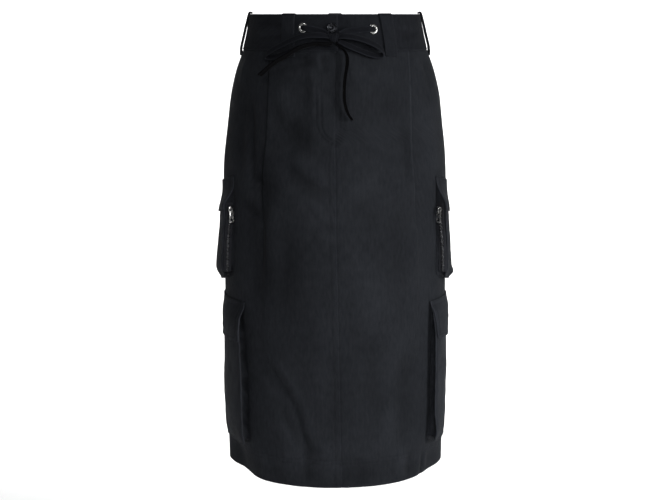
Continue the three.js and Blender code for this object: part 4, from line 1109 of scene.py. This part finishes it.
pockets = {
    "upper": {
        "flapTop": 246, "flapBottom": 293, "top": 258, "bottom": 397, "front": 64, "back": 64,
        "hasZip": True, "corner": 9, "rise": {"right": (259, 288), "left": (250, 288)},
        "drop": [(246, 13), (293, 11), (397, 13)],
        "edge": [(246, 13), (270, 15), (293, 17), (350, 17.5), (380, 17.5), (397, 11)],
        "middle": [(246, 1.6), (270, 2.8), (293, 4.4), (350, 9.4), (380, 11.0), (397, 5.0)],
        "splay": [(246, 0), (300, 0), (330, 4), (370, 8), (397, 8)],
    },
    "lower": {
        "flapTop": 420, "flapBottom": 483, "top": 428, "bottom": 648, "back": 90, "hasZip": False, "corner": 9,
        "rise": {"right": (422, 448), "left": (420, 440)}, "drop": [(420, 1), (482, 8), (648, 12)],
        "edge": [(420, 7), (482, 18), (560, 20), (630, 20), (648, 16)],
        "middle": [(420, 2.4), (482, 2.6), (560, 3.6), (630, 3.4), (648, 2.6)],
        "splay": [(420, -1), (500, -5), (600, -5), (648, -1)],
    },
}
pocketCloth = {"faceColumns": 74, "faceStep": 2.6, "lip": 2.0, "lipThickness": 2.0, "gussetStep": 2.2,
               "gussetThickness": 1.0, "footInset": 1.3, "footLift": 1.58, "cornerLean": (-62, -40),
               "rippleCell": 26, "ripple": 0.9, "fineRippleCell": 10, "fineRipple": 0.4}
bellows = {  # across the gusset from its foot to the face: way in, share of the rise, way in beside a zip, shade
    "inset": [0.2, 1.3, 2.4, 3.3, 4.6, 5.6, 5.9, 5.2, 4.2, 3.2, 2.5],
    "rise": [0.0, 0.01, 0.03, 0.09, 0.24, 0.4, 0.52, 0.66, 0.8, 0.92, 1.0],
    "besideZip": [0.2, 0.5, 0.6, 0.6, 0.6, 0.6, 0.6, 0.6, 0.7, 0.9, 1.2],
    # the last list paints shade into the gusset's fold, darkest near its foot; less is painted beside a zip and on the
    # wearer's left
    "paintedShade": [0.25, 0.4, 0.5, 0.5, 0.4, 0.3, 0.2, 0.1, 0.05, 0, 0], "leftShade": 0.05, "zipShade": 0.7,
    "deepen": 1.35, "crumple": 3.0, "zipCrumple": 0.25,
}
flap = {"overhang": 1.5, "thickness": 1.8, "clearance": 0.7, "columns": 90, "rowStep": 1.7, "stitchInset": 6.0,
        "edgeInset": 1.6, "corner": 5, "seat": 0.8, "rippleCell": 20, "ripple": 0.9, "fineRippleCell": 8,
        "fineRipple": 0.45, "topRows": (1.8, 7.2)}


def frontReach(pocketName, side, depth):
    return read(side["lowerFront"], depth) if pocketName == "lower" else pockets["upper"]["front"] + 0 * depth


def frontSplay(pocketName, side, depth):  # how far round the front edge of the face sits from the gusset's foot
    return read(pockets[pocketName]["splay"], depth) * (pocketName == "upper" or side["sign"] > 0)


def flapRise(pocketName, side, depth):  # 0 where a flap and the pocket under it lie on the body, 1 fully out
    return ease(depth, *pockets[pocketName]["rise"]["right" if side["sign"] < 0 else "left"])


def onPocket(pocketName, side, across, depth, lift):
    # the drawn-up front and back edges of a pocket sit higher than its middle
    spec = pockets[pocketName]
    across, depth = np.broadcast_arrays(np.asarray(across, float), np.asarray(depth, float))
    reach = np.where(across < 0, frontReach(pocketName, side, depth), spec["back"])
    share = np.minimum(1, np.abs(across) / reach)
    return onSide(side, across, depth - read(spec["drop"], depth) * np.where(across < 0, 1, 0.6) * share ** 1.5, lift)


def faceLift(pocketName, side, across, depth):  # lift of the pocket's outer face, across from its centre line
    spec = pockets[pocketName]
    reach = np.where(across < 0, frontReach(pocketName, side, depth), spec["back"])
    share = np.minimum(1, np.abs(across) / reach)
    low, high = read(spec["middle"], depth) * side["puff"][pocketName], read(spec["edge"], depth)
    if pocketName == "lower" and side["sign"] > 0:
        high = high * (1 - 0.28 * (across < 0) * (1 - ease(depth, 590, 640)))
    return low + (high - low) * share ** 2


def onSide(side, across, depth, lift):
    return bodyPoint(side["sign"] * (quarter(depth) + across), depth, lift)


def pocketOutline(pocketName, side):
    # the pocket's edge in (across, depth): down the front, round the bottom and up the back, then the way inwards
    spec = pockets[pocketName]
    r = spec["corner"]
    down = np.arange(spec["top"], spec["bottom"] - r, pocketCloth["gussetStep"])
    front = np.stack([-frontReach(pocketName, side, down), down], -1)
    left, right = -float(frontReach(pocketName, side, spec["bottom"])), spec["back"]
    turn = np.linspace(0, np.pi / 2, 8)
    firstArc = np.stack([left + r - r * np.cos(turn), spec["bottom"] - r + r * np.sin(turn)], -1)
    level = np.arange(left + r + 2, right - r - 1, pocketCloth["gussetStep"])
    bottom = np.stack([level, np.full(len(level), spec["bottom"])], -1)
    secondArc = np.stack([right - r + r * np.sin(turn), spec["bottom"] - r + r * np.cos(turn)], -1)
    back = np.stack([np.full(len(down), right), down], -1)[::-1]
    path = np.concatenate([front, firstArc, bottom, secondArc, back])
    tangent = unit(np.gradient(path, axis=0))
    inwards = np.stack([tangent[:, 1], -tangent[:, 0]], -1)
    walked = travelled(path)
    onFront = 1 - ease(walked, walked[len(front)] - 16, walked[len(front)] - 2)
    return path, inwards, walked, onFront


def pocketPieces(pocketName, side, sideName, seed):
    spec = pockets[pocketName]
    title = pocketName.title() + sideName.title()
    # face: an even grid whose bottom corners are rounded
    depths = np.arange(spec["top"], spec["bottom"] - 12, pocketCloth["faceStep"])
    depths = np.concatenate([depths, np.linspace(spec["bottom"] - 11, spec["bottom"], 9)])
    share = np.sin(np.linspace(-1, 1, pocketCloth["faceColumns"]) * np.pi / 2 * 0.86) / math.sin(np.pi / 2 * 0.86)
    depth = np.broadcast_to(depths[:, None], (len(depths), len(share)))
    splay = frontSplay(pocketName, side, depth)
    reach = np.where(share[None] < 0, frontReach(pocketName, side, depth) - splay, spec["back"])
    low = np.maximum(0, depth - (spec["bottom"] - spec["corner"])) / spec["corner"]
    pull = spec["corner"] * (1 - np.sqrt(np.maximum(0, 1 - np.minimum(low, 1) ** 2)))
    across = share[None] * (reach - pull)
    fromEdge = np.minimum(reach - pull - np.abs(across), spec["bottom"] - depth)
    ripple = (pocketCloth["ripple"] * softNoise(across, depth * 0.7, pocketCloth["rippleCell"], seed)
              + pocketCloth["fineRipple"] * softNoise(across * 0.8, depth, pocketCloth["fineRippleCell"], seed + 1))
    middleRoom = ease(faceLift(pocketName, side, across, depth), 2, 7)
    ripple = ripple * (0.35 + 0.65 * middleRoom) * ease(fromEdge, 0, 9)
    pinch = -0.35 * hump(fromEdge - pocketCloth["lip"], 0.4, 1.0)
    edgePucker = 0.3 * np.exp(-fromEdge / 5) * softNoise(across + depth, across - depth, 6, seed + 2)
    lift = faceLift(pocketName, side, across, depth) - 0.5 + ripple + pinch + edgePucker
    lift = lift + pocketRelief(pocketName, side, across, depth)
    lift = mix(1.1, lift, flapRise(pocketName, side, depth))
    middle = onPocket(pocketName, side, across, depth, lift)
    thick = 1.0 + (pocketCloth["lipThickness"] - 1.0) * np.exp(-(fromEdge / 1.8) ** 4)
    wear = 0.15 + np.exp(-fromEdge / 1.3) * (0.4 + 0.35 * softNoise(across + depth, 0 * depth, 17, seed + 11))
    # painted shade in the face's ripple valleys and along its pinched edge, painted light on the ripples' ridges
    faceMesh = clothShell("pocketFace" + title, middle, thick, clothMap(across, depth), wear,
                          np.clip(-0.2 * (ripple + pinch), -0.14, 0.3))
    # gusset: a strip round the front, bottom and back, folded inwards
    path, inwards, walked, onFront = pocketOutline(pocketName, side)
    zipSide = onFront if spec["hasZip"] else 0 * onFront
    leaning = frontSplay(pocketName, side, path[:, 1]) * (1 - ease(path[:, 0], *pocketCloth["cornerLean"]))
    zigzag = softNoise(walked, walked * 0, 11, seed + 3)
    strip, stripLift = [], []
    count = len(bellows["inset"])
    for k in range(count):
        wave = math.sin(math.pi * k / (count - 1))
        bend = zigzag + 0.7 * softNoise(walked + 5 * k, walked * 0 + k * 2.2, 8, seed + 4)
        inset = mix(bellows["inset"][k] * bellows["deepen"] + bellows["crumple"] * wave * bend,
                    bellows["besideZip"][k] + bellows["zipCrumple"] * wave * bend, zipSide)
        spot = path + inwards * np.maximum(0.1, inset)[:, None]
        spot = spot + np.stack([leaning * bellows["rise"][k], 0 * leaning], -1)
        top = faceLift(pocketName, side, spot[:, 0], spot[:, 1]) - 1.7
        rise = bellows["rise"][k] + 0.05 * wave * softNoise(walked, walked * 0 + 9, 9, seed + 5)
        stripLift.append(mix(1.05, top, rise * flapRise(pocketName, side, spot[:, 1])))
        strip.append(spot)
    strip, stripLift = np.stack(strip, 1), np.stack(stripLift, 1)
    gussetMiddle = onPocket(pocketName, side, strip[..., 0], strip[..., 1], stripLift)
    gussetWear = 0.1 + 0.4 * np.abs(softNoise(walked[:, None] + 0 * stripLift, stripLift, 6, seed + 6))
    gussetUv = clothMap(stripLift, np.broadcast_to(walked[:, None], stripLift.shape))
    # painted shade in the gusset's fold
    foldPaintedShade = np.array(bellows["paintedShade"])[None] * (1 - bellows["zipShade"] * zipSide[:, None])
    foldPaintedShade = foldPaintedShade * (bellows["leftShade"] if side["sign"] > 0 else 1)
    gussetMesh = clothShell("pocketGusset" + title, gussetMiddle, pocketCloth["gussetThickness"], gussetUv,
                            gussetWear, foldPaintedShade + 0 * stripLift)
    facePiece = addPiece("pocketFace" + title, faceMesh, twillCloth, [f"pocket_{pocketName}_{sideName}"])
    gussetPiece = addPiece("pocketGusset" + title, gussetMesh, twillCloth,
                           [f"pocket_{pocketName}_{sideName}"])
    widest = float(np.max(frontReach(pocketName, side, depths))) + spec["back"]
    # edge stitching: beside the face's edge, and on the gusset's foot
    for inset, isFace in ((pocketCloth["lip"], True), (pocketCloth["footInset"], False)):
        spot = path + inwards * inset + np.stack([leaning * isFace, 0 * leaning], -1)
        if isFace:
            keep, ends = spot[:, 1] > spec["flapBottom"] - 8, slice(None)
            liftHere = faceLift(pocketName, side, spot[:, 0], spot[:, 1]) + 0.05
        else:
            keep, ends = (zipSide < 0.5) & (spot[:, 1] > spec["flapBottom"] - 20), slice(2, -2)
            liftHere = np.full(len(spot), pocketCloth["footLift"])
        lineHere = onPocket(pocketName, side, spot[:, 0], spot[:, 1], liftHere)
        facing = onPocket(pocketName, side, spot[:, 0], spot[:, 1], liftHere + 1) - lineHere
        sewPoints("stitches" + title, lineHere[keep][ends], facing[keep][ends])


def pocketRelief(pocketName, side, across, depth):
    if pocketName == "upper" and side["sign"] > 0:  # its full bottom corner
        return 5.0 * hump(depth, 388, 7) * hump(across, -12, 24)
    return 0 * across


def pocketFlap(pocketName, side, sideName, seed):
    spec = pockets[pocketName]
    title = pocketName.title() + sideName.title()
    seat = flap["seat"] + flap["thickness"] / 2
    height = spec["flapBottom"] - spec["flapTop"]
    rows = int(height / flap["rowStep"])
    share = np.sin(np.linspace(-1, 1, flap["columns"]) * np.pi / 2 * 0.9) / math.sin(np.pi / 2 * 0.9)
    downShare = np.concatenate([np.linspace(0, 0.9, rows), np.linspace(0.9, 1, 9)[1:]])
    bottomWave = 0.9 * softNoise(share * 60, share * 0, 18, seed + 7)
    bottomLine = spec["flapBottom"] + bottomWave * (1 - share ** 2)
    depth = spec["flapTop"] + downShare[:, None] * (bottomLine - spec["flapTop"])[None]
    reach = np.where(share[None] < 0, frontReach(pocketName, side, depth), spec["back"]) + flap["overhang"]
    low = np.clip((depth - (bottomLine[None] - flap["corner"])) / flap["corner"], 0, 1)
    pull = flap["corner"] * (1 - np.sqrt(np.maximum(0, 1 - low ** 2)))
    across = share[None] * (reach - pull * 0.8)
    fromSide = reach - pull * 0.8 - np.abs(across)
    fromEdge = np.minimum(fromSide, bottomLine[None] - depth)
    over = faceLift(pocketName, side, across, depth) + flap["thickness"] / 2 + flap["clearance"]
    lift = mix(seat, over, flapRise(pocketName, side, depth))
    freeEdge = ease(depth, spec["flapTop"] + 16, spec["flapBottom"])
    ripple = (flap["ripple"] * softNoise(across, depth * 0.8, flap["rippleCell"], seed + 8)
              + flap["fineRipple"] * softNoise(across, depth, flap["fineRippleCell"], seed + 9))
    lift = lift + np.maximum(-0.3, ripple * (0.3 + freeEdge)) * ease(depth, spec["flapTop"], spec["flapTop"] + 10)
    lift = lift - 0.25 * hump(fromEdge, flap["stitchInset"], 1.1)
    middle = onPocket(pocketName, side, across, depth, lift)
    groove = hump(fromEdge, flap["stitchInset"], 1.2) + hump(fromEdge, flap["edgeInset"], 0.8)
    thick = flap["thickness"] * (1.08 - 0.2 * np.minimum(1, groove))
    wear = 0.15 + 0.8 * np.exp(-fromEdge / 1.2)
    # painted shade in the stitched grooves and ripple valleys, painted light on the ripples' ridges
    mesh = clothShell("flap" + title, middle, thick, clothMap(across, depth), wear,
                      np.clip(0.12 * np.minimum(1, groove) - 0.15 * ripple, -0.12, 0.3))
    piece = addPiece("flap" + title, mesh, twillCloth, [f"flap_{pocketName}_{sideName}"])
    wide = float(np.max(frontReach(pocketName, side, depth))) + spec["back"] + 2 * flap["overhang"]
    # two rows of stitching round the free edge and two along the top
    out = outwardNormals(middle)
    surface = middle + out * (thick / 2 * millimetre)[..., None]
    for inset in (flap["edgeInset"], flap["stitchInset"]):
        sewContour("stitches" + title, surface, out, fromEdge, inset, depth > spec["flapTop"] + 8)
    for below in flap["topRows"]:
        row = int(np.argmin(np.abs(depth[:, 45] - spec["flapTop"] - below)))
        sewPoints("stitches" + title, surface[row, 3:-3], out[row, 3:-3])


def sewContour(group, surface, out, fromEdge, inset, allowed):
    # a stitched line at one distance from the free edge: down one side, along the bottom and up the other
    rows, columns = fromEdge.shape
    middleColumn = columns // 2
    places = []
    for i in range(rows):  # down the first side
        if allowed[i, 0]:
            crossing = np.argmax(fromEdge[i, :middleColumn] >= inset)
            if fromEdge[i, crossing] >= inset and crossing > 0:
                places.append(blendCell(surface, out, fromEdge, (i, crossing - 1), (i, crossing), inset))
    turnAt = len(places)
    for j in range(columns):  # along the bottom
        column = fromEdge[:, j][::-1]
        crossing = np.argmax(column >= inset)
        if column[crossing] >= inset and crossing > 0:
            i = rows - 1 - crossing
            places.append(blendCell(surface, out, fromEdge, (i + 1, j), (i, j), inset))
    endAt = len(places)
    for i in range(rows - 1, -1, -1):  # up the other side
        if allowed[i, -1]:
            side = fromEdge[i, :middleColumn:-1]
            crossing = np.argmax(side >= inset)
            if side[crossing] >= inset and crossing > 0:
                j = columns - 1 - crossing
                places.append(blendCell(surface, out, fromEdge, (i, j + 1), (i, j), inset))
    for part in (places[:turnAt], places[turnAt:endAt], places[endAt:]):
        if len(part) > 3:
            sewPoints(group, np.array([p for p, _ in part]), np.array([n for _, n in part]))


def blendCell(surface, out, fromEdge, first, second, inset):
    span = fromEdge[second] - fromEdge[first]
    share = np.clip((inset - fromEdge[first]) / span, 0, 1) if span else 0
    return mix(surface[first], surface[second], share), mix(out[first], out[second], share)


for sideIndex, (sideName, side) in enumerate(sides.items()):
    for pocketIndex, pocketName in enumerate(pockets):
        seed = 60 + 20 * sideIndex + 40 * pocketIndex
        pocketPieces(pocketName, side, sideName, seed)
        pocketFlap(pocketName, side, sideName, seed)
print("pockets and flaps made")


# Zips

zipSettings = {
    "top": 283, "bottom": 388, "lift": [(283, 8), (305, 8), (340, 9.2), (388, 9.6)],
    "tapeHalf": 5, "tapeGap": 0.25, "tapeLow": 0.3, "tapeThickness": 0.8, "tapeBow": 0.12,
    "teethTop": 297, "teethHeight": 1.5, "teethAside": 0.62, "toothSize": (1.05, 1.7, 1.45), "pitch": 2.0,
}


def gussetPoint(side, depth, out, high):
    lean = read(pockets["upper"]["splay"], depth) * np.asarray(high, float) / 15
    return onPocket("upper", side, lean - pockets["upper"]["front"] - np.asarray(out, float), depth, high)


for sideName, side in sides.items():
    depths = np.linspace(zipSettings["top"], zipSettings["bottom"], 60)
    tapes = []
    for which in (-1, 1):
        share = np.linspace(0, 1, 7)[None]
        fromTeeth = mix(zipSettings["tapeGap"], zipSettings["tapeHalf"], share)
        high = read(zipSettings["lift"], depths)[:, None] + which * fromTeeth
        bow = zipSettings["tapeBow"] * softNoise(depths[:, None] + 0 * high, high, 8, 200 + which)
        out = zipSettings["tapeLow"] + zipSettings["tapeThickness"] / 2 + bow
        middle = gussetPoint(side, depths[:, None] + 0 * high, out, high)
        uv = clothMap(high, depths[:, None] + 0 * high)
        tapes.append(clothShell("tape", middle, zipSettings["tapeThickness"], uv, np.full(high.shape, 0.3)))
    addPiece("zipTape" + sideName.title(), joinMeshes("zipTape" + sideName.title(), tapes), zipTapeCloth,
             ["zip_" + sideName])
    lines, facings = [], []
    fine = np.linspace(zipSettings["teethTop"], zipSettings["bottom"] - 2, 140)
    outAt = zipSettings["tapeLow"] + zipSettings["tapeThickness"] + zipSettings["teethHeight"] / 2
    for which in (-1, 1):
        run = fine + (zipSettings["pitch"] / 2 if which > 0 else 0)
        run = run if which > 0 else run[::-1]
        teethHigh = read(zipSettings["lift"], run) + which * zipSettings["teethAside"]
        spot = gussetPoint(side, run, outAt, teethHigh)
        away = gussetPoint(side, run, outAt + 1, teethHigh) - spot
        lines.append(spot)
        facings.append(unit(away))
    teeth = repeatAlong("zipTeeth" + sideName.title(), lines, facings, toothTree, toothSockets, {
        "Pitch": zipSettings["pitch"] * millimetre, "Size": tuple(np.array(zipSettings["toothSize"]) * millimetre),
        "Wobble": 0.03, "Seed": 3})
    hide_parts("zip_" + sideName)


# Metal pieces: merged and bevelled copies of their CAD nodes, a turned ring for each eyelet, and the button

def refined(nodeName, pieceName, material, bodyName, bevel):
    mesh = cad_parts[nodeName].data.copy()
    with editing(mesh) as solid:
        bmesh.ops.remove_doubles(solid, verts=solid.verts, dist=weldDistance)
        bmesh.ops.dissolve_limit(solid, angle_limit=0.02, verts=solid.verts, edges=solid.edges)
        sharp = [edge for edge in solid.edges if edge.is_manifold and edge.calc_face_angle(0) > 0.5]
        bmesh.ops.bevel(solid, geom=sharp, offset=bevel * millimetre, segments=2, profile=0.5, affect="EDGES",
                        clamp_overlap=True)
    smoothFaces(mesh)
    mesh.set_sharp_from_angle(angle=0.7)
    return addPiece(pieceName, mesh, material, [nodeName], bodyName)


for sideName in sides:
    refined("slider_" + sideName, "slider" + sideName.title(), brightSteel, "skirt", 0.3)
    refined("zip_pull_" + sideName, "zipPull" + sideName.title(), brightSteel, "pull_" + sideName, 0.22)


def turnedMesh(name, profile, along, depth, lift, segments=56):
    # a turned piece on the band: profile is (radius, height), height outwards
    right = unit(bodyPoint(along + 1, depth, lift, False) - bodyPoint(along - 1, depth, lift, False))
    up = unit(bodyPoint(along, depth - 1, lift, False) - bodyPoint(along, depth + 1, lift, False))
    out = unit(np.cross(right, up))
    up = np.cross(out, right)
    place = bodyPoint(along, depth, lift, False)
    angles = np.linspace(0, 2 * np.pi, segments, endpoint=False)
    spokes = np.cos(angles)[:, None] * right + np.sin(angles)[:, None] * up
    points = np.concatenate([place + millimetre * (radius * spokes + height * out) for radius, height in profile])
    at = np.arange(len(points)).reshape(len(profile), segments)
    mesh = finishMesh(name, points, ringFaces(at))
    with editing(mesh) as solid:
        bmesh.ops.remove_doubles(solid, verts=solid.verts, dist=weldDistance)
        bmesh.ops.holes_fill(solid, edges=solid.edges, sides=0)
        bmesh.ops.recalc_face_normals(solid, faces=solid.faces)
    smoothFaces(mesh)
    return mesh


eyeletProfile = [(3.2, -1.1), (3.15, -0.3), (3.2, 0.3), (3.5, 0.9), (4.0, 1.25), (4.7, 1.45), (5.5, 1.4), (6.2, 1.1),
                 (6.8, 0.65), (7.15, 0.2), (7.2, 0.0), (7.0, -0.2), (3.6, -0.25), (3.5, -1.1), (3.2, -1.1)]
for item in eyelets:
    mesh = turnedMesh("eyelet" + item["name"].title(), eyeletProfile, item["along"], item["depth"], 1.5)
    addPiece("eyelet" + item["name"].title(), mesh, brightSteel, ["eyelet_" + item["name"]])
    hole = turnedMesh("eyeletHole" + item["name"].title(), [(0.01, 0.15), (3.3, 0.15), (3.3, -0.3), (0.01, -0.3)],
                      item["along"], item["depth"], 1.35)
    addPiece("eyeletHole" + item["name"].title(), hole, bandCloth)

buttonProfile = [(0.01, 1.15), (1.6, 1.2), (2.6, 1.45), (3.1, 1.9), (3.7, 2.0), (4.4, 1.75), (5.0, 1.9), (5.5, 2.35),
                 (6.1, 2.55), (6.6, 2.3), (6.95, 1.75), (7.0, 1.2), (6.9, 0.7), (6.4, 0.35), (3.5, 0.2), (3.2, -0.2),
                 (3.2, -0.7), (0.01, -0.7)]
buttonMesh = turnedMesh("waistButton", buttonProfile, button["along"], button["depth"], 1.8)
addPiece("waistButton", buttonMesh, darkMetal, ["button"])
print("zips and hardware made")


# Sewing: every line gathered above becomes thread
for group, lines in stitchLines.items():
    repeatAlong(group, [line for line, _ in lines], [facing for _, facing in lines], stitchTree, stitchSockets, {
        "Pitch": stitch["pitch"] * millimetre,
        "Size": tuple(np.array([stitch["length"], stitch["width"], stitch["height"]]) * millimetre),
        "Wobble": stitch["wobble"], "Seed": 11})
print("stitches set:", sum(len(lines) for lines in stitchLines.values()), "lines")


# Floor and backdrop in one curved sheet
def sweepBackdrop():
    floor, wall, radius = studio["floorHeight"], studio["wallDistance"], studio["bend"]
    half = studio["floorSize"]
    turn = np.linspace(0, np.pi / 2, 16)
    curve = [(wall - radius + radius * math.sin(angle), floor + radius * (1 - math.cos(angle))) for angle in turn]
    profile = [(-half, floor), *curve, (wall, floor + studio["wallHeight"])]
    points = [(x, y, z) for y, z in profile for x in (-half, half)]
    faces = [[2 * k, 2 * k + 1, 2 * k + 3, 2 * k + 2] for k in range(len(profile) - 1)]
    mesh = finishMesh("backdrop", points, faces)
    mesh.materials.append(paleFloor)
    sheet = bpy.data.objects.new("backdrop", mesh)
    scene.collection.objects.link(sheet)
    sheet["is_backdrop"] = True


sweepBackdrop()

({"cad": [list(map(float, corner)) for corner in cadBounds],
           "visual": [list(map(float, corner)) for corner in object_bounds()]})
